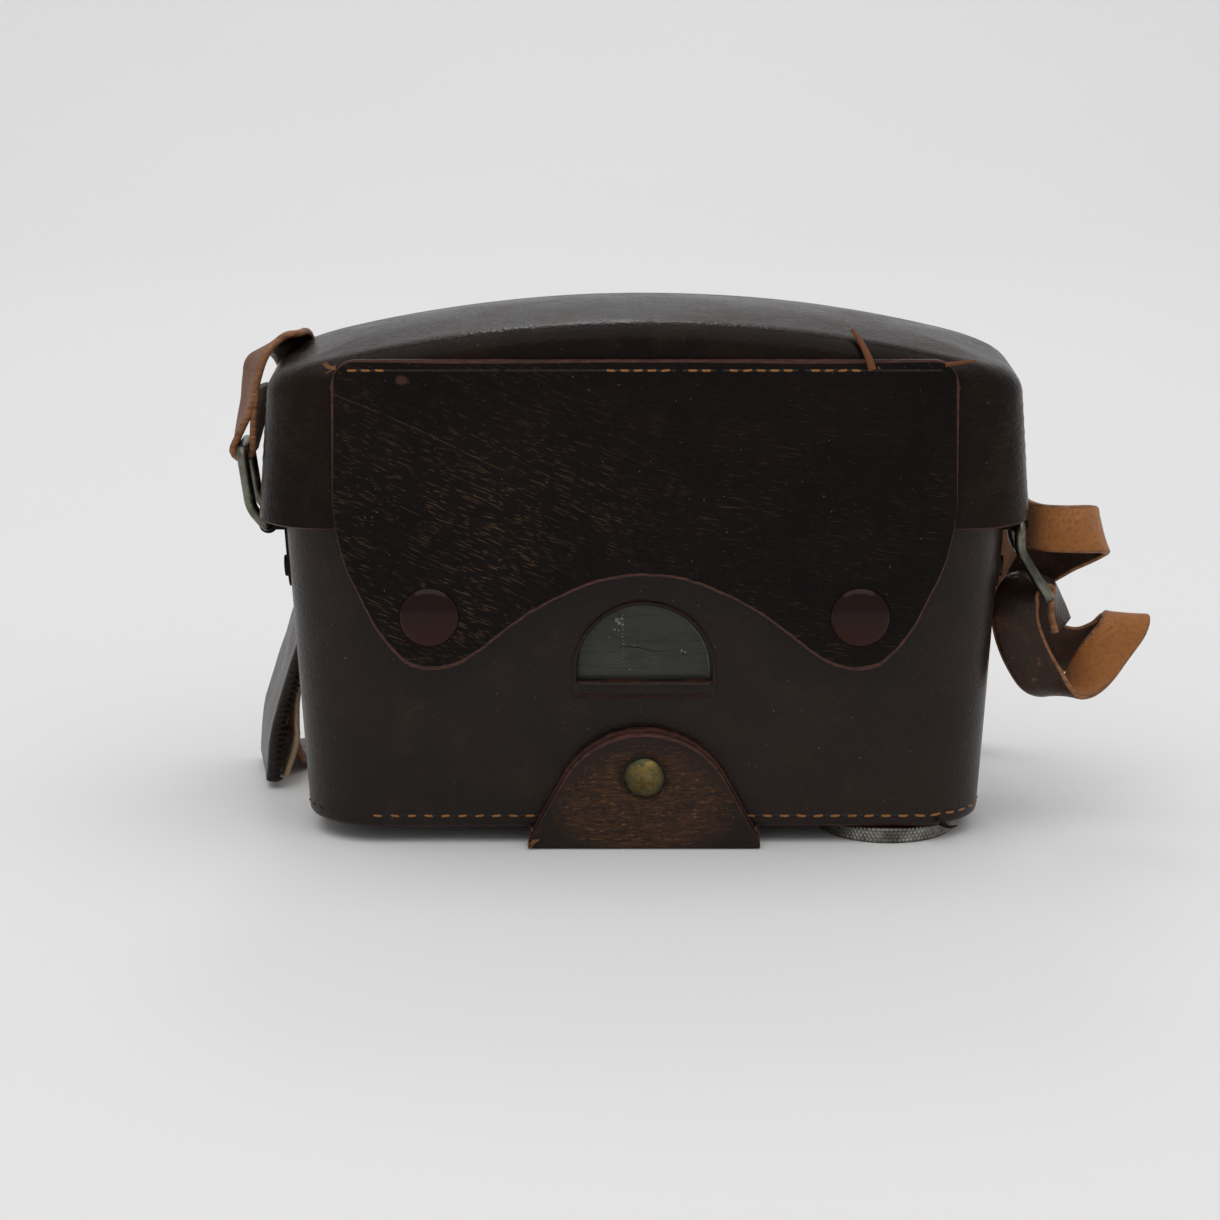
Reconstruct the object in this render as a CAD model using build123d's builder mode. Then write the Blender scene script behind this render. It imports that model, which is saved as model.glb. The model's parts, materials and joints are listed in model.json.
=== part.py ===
import os
from math import atan2, cos, radians, sin, sqrt

from build123d import *

os.makedirs("parts", exist_ok=True)

# A moulded leather camera case, seen in the photograph from its back. X runs to the right,
# the photographed wall faces -Y, Z is up, and the case stands on Z = 0. The origin is under
# the middle of the case, on the underside of the tongue. All sizes are in millimetres.

# Lower half-case
wall = 2.2
base_gap = 3.6
body_half_depth = 23.6
body_foot_half_width = 69.2
body_rim_half_width = 73.2
plan_radius = 15.0
rim_height = 66.2
collar_rise = 3.8
base_thickness = 2.4
base_lip_height = 3.0
base_lip_thickness = 1.5
base_stitch_height = 2.3
thread = 0.6
thread_round = 0.27
thread_gap = 0.05

# Domed lid
crown_height = 108.5
crown_radius = 267.0
lid_rim_half_width = 78.2
lid_crown_half_width = 75.2
lid_rim_half_depth = 26.5
lid_crown_half_depth = 24.0
lid_corner_radius = 14.0
brow_radius = 7.5

# Flap
flap_thickness = 1.8
flap_half_width = 62.2
flap_band_height = 4.2
flap_top_height = 100.5
flap_corner_radius = 5.0
flap_gap = 0.3
flap_side_end = 70.0
lobe_bottom = 38.0
arch_top = 57.3
lobe_shoulder = 13.0
lobe_shoulder_rise = 6.3
lobe_flank = 5.6
lobe_flank_rise = 13.4
snap_offset = 43.2
snap_height = 48.8

# Press studs of the flap
cap_radius = 5.85
cap_rim_height = 0.5
cap_dome_radius = 5.35
cap_dome_height = 1.5
cap_edge_round = 1.2
snap_post_radius = 1.3
socket_radius = 4.8
socket_height = 1.1
socket_mouth_radius = 2.2
stud_plate_radius = 4.5
stud_plate_height = 0.4
stud_knob_radius = 1.9
stud_back_height = 0.6
snap_gap = 0.3
post_fit = 0.05

# Half-moon window in the near wall
window_half_width = 13.7
window_bottom = 34.3
window_top = 50.2
window_spring = 2.2
bezel_width = 0.9
bezel_sill = 2.3
bezel_height = 0.7
pane_margin = 1.5
pane_thickness = 0.8
pane_fit = 0.05
backing_margin = 3.8
backing_thickness = 1.6

# Lens opening in the far wall and its drop front
lens_half_width = 30.0
lens_bottom = 14.0
lens_top = 52.0
lens_corner_radius = 8.0
cover_gap = 1.0
cover_half_width = 36.0
cover_bottom = 8.0
cover_top = 57.5
cover_corner_radius = 9.0
cover_panel_margin = 3.0
cover_panel_height = 4.0
cover_panel_round = 1.6
cover_thread_margin = 3.0
fold_gap = 0.3

# Tongue under the base, and the half-round tab that comes up from it
tongue_thickness = 3.2
tongue_half_width = 22.8
tongue_round = 1.3
tab_gap = 1.0
tab_layer = 1.6
tab_half_width = 22.6
tab_knee_half_width = 16.5
tab_knee_height = 14.9
tab_top = 24.8
tab_thread_margin = 2.8
tab_snap_height = 15.1
tab_cap_radius = 4.1
tab_cap_rim = 0.4
tab_cap_height = 1.7
tab_cap_round = 1.45
tab_recess_radius = 4.7
tab_recess_depth = 0.6
tab_socket_radius = 3.5
tab_socket_height = 1.2
tab_stud_radius = 3.0
tab_stud_height = 0.4

# Retaining screw: a knurled wheel under the base
wheel_inset = 18.8
wheel_y = -9.5
wheel_radius = 14.2
wheel_height = 3.3
wheel_chamfer = 0.4
hub_radius = 6.04
hub_fit = 0.08
hub_rise = 1.0
grommet_radius = 8.0
grommet_fit = 0.05
tripod_radius = 3.175
tripod_depth = 5.0
shank_radius = 3.15
shank_length = 6.0
shank_chamfer = 0.4
clip_radius = 8.4
clip_gap = 0.15
clip_thickness = 0.6

# Strap rings of bent wire, and the side plates that carry them
wire_radius = 1.1
ring_half_width = 6.9
ring_pivot_inset = 0.9
ring_pivot_drop = 3.3
ring_neck = 5.0
ring_reach = 12.0
ring_turn = 32.0
ring_hang_angle = -90.0
ring_up_angle = 50.0
ring_corner_radius = 1.8
ring_pivot_corner_radius = 1.6
wire_butt_gap = 0.4
wire_fit = 0.05
knuckle_wall = 0.8
knuckle_length = 8.8
lug_plate_thickness = 0.8
lug_plate_width = 15.0
lug_plate_drop = 1.2
lug_plate_height = 15.0
lug_plate_corner = 3.0
lug_web = 2.4
rivet_head_radius = 2.2
rivet_head_height = 0.8
rivet_shank_radius = 1.1
rivet_drop = 4.2
rivet_spacing = 8.0

# Leather hinge of the lid
hinge_leather = 1.0
hinge_half_length = 58.0
hinge_on_body = 6.0
hinge_on_lid = 10.0
hinge_step_drop = 0.8

# Strap and shoulder pad
strap_width = 10.0
strap_thickness = 1.8
strap_fold_fit = 0.05
strap_end_length = 7.0
strap_clear = 0.4
strap_bend = 2.5
floor_clear = 0.1
pad_thickness = 3.0
pad_lining_thickness = 0.8
pad_near = 17.5
pad_width = 26.0
pad_bend = 4.0
pad_margin = 2.0
pad_top = 42.0
strap_drop_x = -60.0
strap_lean = 2.5
strap_shoulder_drop = 7.0
strap_shoulder_run = 9.0

# Each point of the pad: its distance outside the wall, and its height
pad_points = ((0.1, pad_top), (2.7, 36.0), (10.5, 17.0), (10.1, floor_clear))

# Steps from the strap's end on the right ring to the points of the low loop and of the fold above it
low_loop_steps = ((-1.5, -1.0), (-7.0, -6.0), (-8.6, -11.9), (-4.1, -16.9), (3.9, -15.9), (17.9, -2.9))
top_fold_steps = ((11.9, 0.7), (3.9, 1.1), (1.6, 7.1))

# Steps outwards and backwards from the right ring's pivot to the points of the high loop
high_loop_steps = ((10.9, 13.0), (18.4, 7.0), (17.9, -1.0), (10.9, -1.5), (3.9, 11.0))
high_loop_drop = 8.4
back_run_start_y = 11.4
back_run_y = 46.0


def body_half_width_at(height):
    slope = (body_rim_half_width - body_foot_half_width) / (rim_height - base_gap)
    return body_foot_half_width + slope * (height - base_gap)


def lid_half_depth_at(height):
    slope = (lid_rim_half_depth - lid_crown_half_depth) / (crown_height - rim_height)
    return lid_rim_half_depth - slope * (height - rim_height)


def crown_height_at(half_width):
    return crown_height - crown_radius + sqrt(crown_radius**2 - half_width**2)


def arch(half_width, bottom, spring, top):
    # A straight sill, short upright sides and a round top, in the plane of the near wall
    with BuildSketch() as profile:
        with BuildLine():
            Line((-half_width, bottom), (half_width, bottom))
            Line((half_width, bottom), (half_width, bottom + spring))
            ThreePointArc((half_width, bottom + spring), (0, top), (-half_width, bottom + spring))
            Line((-half_width, bottom + spring), (-half_width, bottom))
        make_face()
    return profile.sketch


def on_wall(sketch, distance):
    # Places a flat profile upright, facing -Y, at the given distance in front of the middle
    return Plane.XZ.offset(distance) * sketch


collar_top = rim_height + collar_rise
near_face = body_half_depth
inner_face = body_half_depth - wall
lug_tilt = atan2(body_rim_half_width - body_foot_half_width, rim_height - base_gap)
lug_plate_top = rim_height - lug_plate_drop
lug_plate_bottom = lug_plate_top - lug_plate_height
rivet_z = lug_plate_bottom + rivet_drop
ring_pivot_x = lid_rim_half_width - ring_pivot_inset
ring_pivot_z = rim_height - ring_pivot_drop
wheel_x = body_foot_half_width - wheel_inset

# Moulded wall of the lower half
window_hole = arch(window_half_width, window_bottom, window_spring, window_top)

with BuildPart() as body_shell:
    with BuildSketch(Plane.XY.offset(base_gap)):
        RectangleRounded(2 * body_foot_half_width, 2 * body_half_depth, plan_radius)
    with BuildSketch(Plane.XY.offset(collar_top)):
        RectangleRounded(2 * body_half_width_at(collar_top), 2 * body_half_depth, plan_radius)
    loft(ruled=True)
    with BuildSketch(Plane.XY.offset(base_gap)):
        RectangleRounded(2 * (body_foot_half_width - wall), 2 * inner_face, plan_radius - wall)
    with BuildSketch(Plane.XY.offset(collar_top)):
        RectangleRounded(2 * (body_half_width_at(collar_top) - wall), 2 * inner_face, plan_radius - wall)
    loft(ruled=True, mode=Mode.SUBTRACT)
    extrude(on_wall(window_hole, near_face + wall), amount=-3 * wall, mode=Mode.SUBTRACT)
    with BuildSketch(Plane.XZ.offset(-near_face - wall)):
        with Locations((0, (lens_bottom + lens_top) / 2)):
            RectangleRounded(2 * lens_half_width, lens_top - lens_bottom, lens_corner_radius)
    extrude(amount=3 * wall, mode=Mode.SUBTRACT)
    with BuildSketch(Plane.XZ.offset(near_face + wall)):
        with Locations((-snap_offset, snap_height), (snap_offset, snap_height), (0, tab_snap_height)):
            Circle(snap_post_radius + post_fit)
    extrude(amount=-3 * wall, mode=Mode.SUBTRACT)
    for side in (-1, 1):
        rivet_plane = Plane(
            origin=(side * body_half_width_at(rivet_z), 0, rivet_z),
            x_dir=(0, side, 0),
            z_dir=(side * cos(lug_tilt), 0, -sin(lug_tilt)),
        )
        with BuildSketch(rivet_plane.offset(wall)):
            with Locations((-rivet_spacing / 2, 0), (rivet_spacing / 2, 0)):
                Circle(rivet_shank_radius + post_fit)
        extrude(amount=-3 * wall, mode=Mode.SUBTRACT)
body_shell.part.label = "body_shell"
export_step(body_shell.part, "parts/body_shell.step")

# Base panel with its upturned lip
base_half_width = body_foot_half_width - wall
base_corner_radius = plan_radius - wall

with BuildPart() as base_panel:
    with BuildSketch(Plane.XY.offset(base_gap)):
        RectangleRounded(2 * base_half_width, 2 * inner_face, base_corner_radius)
        with Locations((wheel_x, wheel_y)):
            Circle(grommet_radius, mode=Mode.SUBTRACT)
    extrude(amount=base_thickness)
    with BuildSketch(Plane.XY.offset(base_gap + base_thickness)):
        RectangleRounded(2 * base_half_width, 2 * inner_face, base_corner_radius)
        RectangleRounded(
            2 * (base_half_width - base_lip_thickness),
            2 * (inner_face - base_lip_thickness),
            base_corner_radius - base_lip_thickness,
            mode=Mode.SUBTRACT,
        )
    extrude(amount=base_lip_height)
base_panel.part.label = "base_panel"
export_step(base_panel.part, "parts/base_panel.step")

# Thread that runs round the foot of the wall
stitch_low = base_gap + base_stitch_height
stitch_half_width = body_half_width_at(stitch_low + thread) + thread_gap

with BuildPart() as base_stitching:
    with BuildSketch(Plane.XY.offset(stitch_low)):
        RectangleRounded(
            2 * (stitch_half_width + thread),
            2 * (near_face + thread_gap + thread),
            plan_radius + thread_gap + thread,
        )
        RectangleRounded(
            2 * stitch_half_width,
            2 * (near_face + thread_gap),
            plan_radius + thread_gap,
            mode=Mode.SUBTRACT,
        )
    extrude(amount=thread)
base_stitching.part.label = "base_stitching"
export_step(base_stitching.part, "parts/base_stitching.step")

# Half-moon window: a raised rim outside, the pane and its frame inside
bezel_outline = arch(
    window_half_width + bezel_width,
    window_bottom - bezel_sill,
    window_spring + bezel_sill,
    window_top + bezel_width,
)
pane_outline = arch(
    window_half_width + pane_margin,
    window_bottom - pane_margin,
    window_spring + pane_margin,
    window_top + pane_margin,
)
pocket_outline = arch(
    window_half_width + pane_margin + pane_fit,
    window_bottom - pane_margin - pane_fit,
    window_spring + pane_margin + pane_fit,
    window_top + pane_margin + pane_fit,
)
backing_outline = arch(
    window_half_width + backing_margin,
    window_bottom - backing_margin,
    window_spring + backing_margin,
    window_top + backing_margin,
)

with BuildPart() as window_bezel:
    extrude(on_wall(bezel_outline, near_face), amount=bezel_height)
    extrude(on_wall(window_hole, near_face - wall), amount=3 * wall, mode=Mode.SUBTRACT)
window_bezel.part.label = "window_bezel"
export_step(window_bezel.part, "parts/window_bezel.step")

with BuildPart() as window_pane:
    extrude(on_wall(pane_outline, inner_face), amount=-pane_thickness)
window_pane.part.label = "window_pane"
export_step(window_pane.part, "parts/window_pane.step")

with BuildPart() as window_backing:
    extrude(on_wall(backing_outline, inner_face), amount=-backing_thickness)
    extrude(on_wall(pocket_outline, inner_face), amount=-pane_thickness, mode=Mode.SUBTRACT)
    extrude(on_wall(window_hole, inner_face), amount=-backing_thickness, mode=Mode.SUBTRACT)
window_backing.part.label = "window_backing"
export_step(window_backing.part, "parts/window_backing.step")

# Studs of the flap's two fasteners, fixed through the near wall
flap_inner = lid_rim_half_depth + flap_gap
flap_outer = flap_inner + flap_thickness
stud_knob_height = flap_inner - socket_height - snap_gap - near_face - stud_plate_height

with BuildPart() as snap_studs:
    with BuildSketch(Plane.XZ.offset(near_face)):
        with Locations((-snap_offset, snap_height), (snap_offset, snap_height)):
            Circle(stud_plate_radius)
    extrude(amount=stud_plate_height)
    with BuildSketch(Plane.XZ.offset(near_face + stud_plate_height)):
        with Locations((-snap_offset, snap_height), (snap_offset, snap_height)):
            Circle(stud_knob_radius)
    extrude(amount=stud_knob_height)
    with BuildSketch(Plane.XZ.offset(near_face)):
        with Locations((-snap_offset, snap_height), (snap_offset, snap_height)):
            Circle(snap_post_radius)
    extrude(amount=-wall - stud_back_height)
snap_studs.part.label = "snap_studs"
export_step(snap_studs.part, "parts/snap_studs.step")

with BuildPart() as snap_stud_backs:
    with BuildSketch(Plane.XZ.offset(inner_face)):
        with Locations((-snap_offset, snap_height), (snap_offset, snap_height)):
            Circle(stud_plate_radius)
            Circle(snap_post_radius + post_fit, mode=Mode.SUBTRACT)
    extrude(amount=-stud_back_height)
snap_stud_backs.part.label = "snap_stud_backs"
export_step(snap_stud_backs.part, "parts/snap_stud_backs.step")

# Stud of the tab's fastener, fixed through the near wall
with BuildPart() as tab_snap_stud:
    with BuildSketch(Plane.XZ.offset(near_face)):
        with Locations((0, tab_snap_height)):
            Circle(tab_stud_radius)
    extrude(amount=tab_stud_height)
    with BuildSketch(Plane.XZ.offset(near_face)):
        with Locations((0, tab_snap_height)):
            Circle(snap_post_radius)
    extrude(amount=-wall)
    with BuildSketch(Plane.XZ.offset(inner_face)):
        with Locations((0, tab_snap_height)):
            Circle(tab_stud_radius)
    extrude(amount=-stud_back_height)
tab_snap_stud.part.label = "tab_snap_stud"
export_step(tab_snap_stud.part, "parts/tab_snap_stud.step")

# Tongue under the base: it ends under the tab in front and under the drop front behind
tab_inner_face = near_face + tab_gap
tab_outer_face = tab_inner_face + 2 * tab_layer
cover_inner_face = body_half_depth + cover_gap
cover_outer_face = cover_inner_face + wall
hinge_floor = tongue_thickness + fold_gap

with BuildPart() as tongue:
    with BuildSketch(Plane.YZ.offset(-tongue_half_width)):
        with BuildLine():
            Polyline(
                (-tab_outer_face, 0),
                (cover_outer_face, 0),
                (cover_outer_face, tongue_thickness),
                (inner_face, tongue_thickness),
                (inner_face, base_gap),
                (-inner_face, base_gap),
                (-inner_face, tongue_thickness),
                (-tab_outer_face, tongue_thickness),
                close=True,
            )
        make_face()
    extrude(amount=2 * tongue_half_width)
    tongue_noses = tongue.edges().filter_by(Axis.X).group_by(Axis.Z)[0]
    fillet(tongue_noses, tongue_round)
tongue.part.label = "tongue"
export_step(tongue.part, "parts/tongue.step")

# Metal eyelet of the retaining screw
with BuildPart() as screw_grommet:
    with BuildSketch(Plane.XY.offset(base_gap)):
        with Locations((wheel_x, wheel_y)):
            Circle(grommet_radius - grommet_fit)
            Circle(hub_radius + hub_fit, mode=Mode.SUBTRACT)
    extrude(amount=base_thickness)
screw_grommet.part.label = "screw_grommet"
export_step(screw_grommet.part, "parts/screw_grommet.step")

# Knurled wheel with its hub, its tripod socket, the camera's screw and the clip above the base
base_top = base_gap + base_thickness
hub_top = base_top + hub_rise

with BuildPart() as knurled_wheel:
    with BuildSketch():
        with Locations((wheel_x, wheel_y)):
            Circle(wheel_radius)
    extrude(amount=wheel_height)
    chamfer(knurled_wheel.edges().filter_by(GeomType.CIRCLE), wheel_chamfer)
    with BuildSketch(Plane.XY.offset(wheel_height)):
        with Locations((wheel_x, wheel_y)):
            Circle(hub_radius)
    extrude(amount=hub_top - wheel_height)
    with BuildSketch():
        with Locations((wheel_x, wheel_y)):
            Circle(tripod_radius)
    extrude(amount=tripod_depth, mode=Mode.SUBTRACT)
knurled_wheel.part.label = "knurled_wheel"
export_step(knurled_wheel.part, "parts/knurled_wheel.step")

with BuildPart() as screw_shank:
    with BuildSketch(Plane.XY.offset(hub_top)):
        with Locations((wheel_x, wheel_y)):
            Circle(shank_radius)
    extrude(amount=shank_length)
    chamfer(screw_shank.edges().filter_by(GeomType.CIRCLE).sort_by(Axis.Z)[-1], shank_chamfer)
screw_shank.part.label = "screw_shank"
export_step(screw_shank.part, "parts/screw_shank.step")

with BuildPart() as screw_clip:
    with BuildSketch(Plane.XY.offset(base_top + clip_gap)):
        with Locations((wheel_x, wheel_y)):
            Circle(clip_radius)
            Circle(hub_radius, mode=Mode.SUBTRACT)
    extrude(amount=clip_thickness)
screw_clip.part.label = "screw_clip"
export_step(screw_clip.part, "parts/screw_clip.step")

# Side plates, each with a knuckle that the ring turns in
knuckle_radius = wire_radius + wire_fit + knuckle_wall

for side, node in ((-1, "lug_left"), (1, "lug_right")):
    plate_middle = (lug_plate_top + lug_plate_bottom) / 2
    plate_plane = Plane(
        origin=(side * body_half_width_at(plate_middle), 0, plate_middle),
        x_dir=(0, side, 0),
        z_dir=(side * cos(lug_tilt), 0, -sin(lug_tilt)),
    )
    rivet_offset = rivet_z - plate_middle
    web_low = body_half_width_at(ring_pivot_z) + lug_plate_thickness / 2
    with BuildPart() as lug:
        with BuildSketch(plate_plane):
            RectangleRounded(lug_plate_width, lug_plate_height, lug_plate_corner)
            with Locations((-rivet_spacing / 2, rivet_offset), (rivet_spacing / 2, rivet_offset)):
                Circle(rivet_shank_radius + post_fit, mode=Mode.SUBTRACT)
        extrude(amount=lug_plate_thickness)
        with BuildSketch(Plane.XZ.offset(knuckle_length / 2)):
            with Locations((side * ring_pivot_x, ring_pivot_z)):
                Circle(knuckle_radius)
            with Locations((side * (web_low + ring_pivot_x) / 2, ring_pivot_z)):
                Rectangle(ring_pivot_x - web_low, lug_web)
        extrude(amount=-knuckle_length)
        with BuildSketch(Plane.XZ.offset(knuckle_length)):
            with Locations((side * ring_pivot_x, ring_pivot_z)):
                Circle(wire_radius + wire_fit)
        extrude(amount=-2 * knuckle_length, mode=Mode.SUBTRACT)
    lug.part.label = node
    export_step(lug.part, f"parts/{node}.step")

# Rivets of the side plates, two on each side, set from outside through plate and wall
with BuildPart() as lug_rivets:
    for side in (-1, 1):
        rivet_face = Plane(
            origin=(side * body_half_width_at(rivet_z), 0, rivet_z),
            x_dir=(0, side, 0),
            z_dir=(side * cos(lug_tilt), 0, -sin(lug_tilt)),
        )
        with BuildSketch(rivet_face.offset(lug_plate_thickness)):
            with Locations((-rivet_spacing / 2, 0), (rivet_spacing / 2, 0)):
                Circle(rivet_head_radius)
        extrude(amount=rivet_head_height)
        with BuildSketch(rivet_face.offset(lug_plate_thickness)):
            with Locations((-rivet_spacing / 2, 0), (rivet_spacing / 2, 0)):
                Circle(rivet_shank_radius)
        extrude(amount=-lug_plate_thickness - wall)
        with BuildSketch(rivet_face.offset(-wall - post_fit)):
            with Locations((-rivet_spacing / 2, 0), (rivet_spacing / 2, 0)):
                Circle(rivet_head_radius)
        extrude(amount=-rivet_head_height)
lug_rivets.part.label = "lug_rivets"
export_step(lug_rivets.part, "parts/lug_rivets.step")

# Domed lid: a tapering box under an arched crown, rounded along its brow
def lid_form(inset):
    rim_half = lid_rim_half_width - inset
    crown_half = lid_crown_half_width - inset
    rim_depth = lid_rim_half_depth - inset
    crown_depth = lid_crown_half_depth - inset
    reach = rim_half + wall
    arc_end = crown_height_at(reach) - inset
    with BuildPart() as form:
        with BuildSketch(Plane.XY.offset(rim_height)):
            RectangleRounded(2 * rim_half, 2 * rim_depth, lid_corner_radius - inset)
        with BuildSketch(Plane.XY.offset(crown_height)):
            RectangleRounded(2 * crown_half, 2 * crown_depth, lid_corner_radius - inset)
        loft(ruled=True)
        with BuildSketch(Plane.XZ.offset(reach)):
            with BuildLine():
                Polyline((-reach, arc_end), (-reach, rim_height), (reach, rim_height), (reach, arc_end))
                ThreePointArc((reach, arc_end), (0, crown_height - inset), (-reach, arc_end))
            make_face()
        extrude(amount=-2 * reach, mode=Mode.INTERSECT)
        fillet(form.faces().sort_by(Axis.Z)[-1].edges(), brow_radius - inset)
    return form.part


lid_outside = lid_form(0)
lid_inside = lid_form(wall)

with BuildPart() as lid_shell:
    add(lid_outside)
    add(lid_inside, mode=Mode.SUBTRACT)
lid_shell.part.label = "lid_shell"
export_step(lid_shell.part, "parts/lid_shell.step")

# Leather hinge at the far rim, glued to the wall below and to the lid above
step_low = rim_height - hinge_step_drop - hinge_leather
lid_strip_top = rim_height + hinge_on_lid

with BuildPart() as lid_hinge_leather:
    with BuildSketch(Plane.YZ.offset(-hinge_half_length)):
        with BuildLine():
            Polyline(
                (body_half_depth, step_low - hinge_on_body),
                (body_half_depth + hinge_leather, step_low - hinge_on_body),
                (body_half_depth + hinge_leather, step_low),
                (lid_rim_half_depth + hinge_leather, step_low),
                (lid_rim_half_depth + hinge_leather, rim_height),
                (lid_half_depth_at(lid_strip_top) + hinge_leather, lid_strip_top),
                (lid_half_depth_at(lid_strip_top), lid_strip_top),
                (lid_rim_half_depth, rim_height),
                (lid_rim_half_depth, step_low + hinge_leather),
                (body_half_depth, step_low + hinge_leather),
                close=True,
            )
        make_face()
    extrude(amount=2 * hinge_half_length)
lid_hinge_leather.part.label = "lid_hinge_leather"
export_step(lid_hinge_leather.part, "parts/lid_hinge_leather.step")

# Upper band of the flap, sewn to the lid's near face
band_bottom = flap_top_height - flap_band_height

with BuildPart() as flap_band:
    with BuildSketch(Plane.YZ.offset(-flap_half_width)):
        with BuildLine():
            Polyline(
                (-lid_half_depth_at(band_bottom), band_bottom),
                (-lid_half_depth_at(flap_top_height), flap_top_height),
                (-lid_half_depth_at(flap_top_height) - flap_thickness, flap_top_height),
                (-lid_half_depth_at(band_bottom) - flap_thickness, band_bottom),
                close=True,
            )
        make_face()
    extrude(amount=2 * flap_half_width)
    with BuildSketch(Plane.XZ.offset(lid_crown_half_depth - wall)):
        with Locations((0, flap_top_height - flap_corner_radius)):
            RectangleRounded(2 * flap_half_width, 2 * flap_corner_radius, flap_corner_radius - thread)
    extrude(amount=4 * wall, mode=Mode.INTERSECT)
flap_band.part.label = "flap_band"
export_step(flap_band.part, "parts/flap_band.step")

# Thread of the flap's seam, on the outside of the band
seam_height = band_bottom + flap_band_height / 2
seam_slope = atan2(lid_rim_half_depth - lid_crown_half_depth, crown_height - rim_height)
seam_face = Plane(
    origin=(0, -lid_half_depth_at(seam_height) - flap_thickness, seam_height),
    x_dir=(1, 0, 0),
    z_dir=(0, -cos(seam_slope), sin(seam_slope)),
)

with BuildPart() as flap_stitching:
    with BuildSketch(seam_face):
        RectangleRounded(2 * (flap_half_width - flap_band_height), thread, thread_round)
    extrude(amount=thread)
flap_stitching.part.label = "flap_stitching"
export_step(flap_stitching.part, "parts/flap_stitching.step")

# Hanging flap: two round lobes that carry the press studs, with a low arch between them
flap_hang_top = band_bottom - flap_gap

with BuildPart() as lid_flap:
    with BuildSketch(Plane.YZ.offset(-flap_half_width)):
        with BuildLine():
            Polyline(
                (-lid_half_depth_at(flap_hang_top) - flap_gap, flap_hang_top),
                (-flap_inner, rim_height),
                (-flap_inner, lobe_bottom - wall),
                (-flap_outer, lobe_bottom - wall),
                (-flap_outer, rim_height),
                (-lid_half_depth_at(flap_hang_top) - flap_gap - flap_thickness, flap_hang_top),
                close=True,
            )
        make_face()
    extrude(amount=2 * flap_half_width)
    with BuildSketch(Plane.XZ.offset(lid_crown_half_depth - wall)):
        with BuildLine():
            Polyline(
                (flap_half_width, flap_side_end),
                (flap_half_width, flap_hang_top),
                (0, flap_hang_top),
                (0, arch_top),
            )
            Spline(
                (0, arch_top),
                (snap_offset - lobe_shoulder, lobe_bottom + lobe_shoulder_rise),
                (snap_offset, lobe_bottom),
                (flap_half_width - lobe_flank, lobe_bottom + lobe_flank_rise),
                (flap_half_width, flap_side_end),
                tangents=((1, 0), (0, 1)),
            )
        make_face()
        mirror(about=Plane.YZ)
    extrude(amount=4 * wall, mode=Mode.INTERSECT)
    with BuildSketch(Plane.XZ.offset(near_face)):
        with Locations((-snap_offset, snap_height), (snap_offset, snap_height)):
            Circle(snap_post_radius + post_fit)
    extrude(amount=4 * wall, mode=Mode.SUBTRACT)
lid_flap.part.label = "lid_flap"
export_step(lid_flap.part, "parts/lid_flap.step")

# Caps and sockets of the flap's press studs
with BuildPart() as snap_caps:
    with BuildSketch(Plane.XZ.offset(flap_outer)):
        with Locations((-snap_offset, snap_height), (snap_offset, snap_height)):
            Circle(cap_radius)
    extrude(amount=cap_rim_height)
    with BuildSketch(Plane.XZ.offset(flap_outer + cap_rim_height)):
        with Locations((-snap_offset, snap_height), (snap_offset, snap_height)):
            Circle(cap_dome_radius)
    extrude(amount=cap_dome_height)
    fillet(snap_caps.edges().filter_by(GeomType.CIRCLE).group_by(Axis.Y)[0], cap_edge_round)
    with BuildSketch(Plane.XZ.offset(flap_outer)):
        with Locations((-snap_offset, snap_height), (snap_offset, snap_height)):
            Circle(snap_post_radius)
    extrude(amount=-flap_thickness)
snap_caps.part.label = "snap_caps"
export_step(snap_caps.part, "parts/snap_caps.step")

with BuildPart() as snap_sockets:
    with BuildSketch(Plane.XZ.offset(flap_inner)):
        with Locations((-snap_offset, snap_height), (snap_offset, snap_height)):
            Circle(socket_radius)
            Circle(socket_mouth_radius, mode=Mode.SUBTRACT)
    extrude(amount=-socket_height)
snap_sockets.part.label = "snap_sockets"
export_step(snap_sockets.part, "parts/snap_sockets.step")

# Drop front over the lens opening, with a raised panel
panel_half_width = lens_half_width - cover_panel_margin
panel_low = lens_bottom + cover_panel_margin
panel_high = lens_top - cover_panel_margin
panel_middle = (panel_low + panel_high) / 2
panel_radius = lens_corner_radius - cover_panel_margin
cover_middle = (cover_bottom + cover_top) / 2

with BuildPart() as front_cover:
    with BuildSketch(Plane.XZ.offset(-cover_inner_face)):
        with Locations((0, cover_middle)):
            RectangleRounded(2 * cover_half_width, cover_top - cover_bottom, cover_corner_radius)
        with Locations((0, (hinge_floor + cover_middle) / 2)):
            Rectangle(2 * tongue_half_width, cover_middle - hinge_floor)
    extrude(amount=-wall)
    with BuildSketch(Plane.XZ.offset(-cover_outer_face)):
        with Locations((0, panel_middle)):
            RectangleRounded(2 * panel_half_width, panel_high - panel_low, panel_radius)
    extrude(amount=-cover_panel_height)
    fillet(front_cover.faces().sort_by(Axis.Y)[-1].edges(), cover_panel_round)
    with BuildSketch(Plane.XZ.offset(-cover_inner_face)):
        with Locations((0, panel_middle)):
            RectangleRounded(
                2 * (panel_half_width - wall), panel_high - panel_low - 2 * wall, panel_radius - wall
            )
    extrude(amount=-cover_panel_height, mode=Mode.SUBTRACT)
front_cover.part.label = "front_cover"
export_step(front_cover.part, "parts/front_cover.step")

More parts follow.
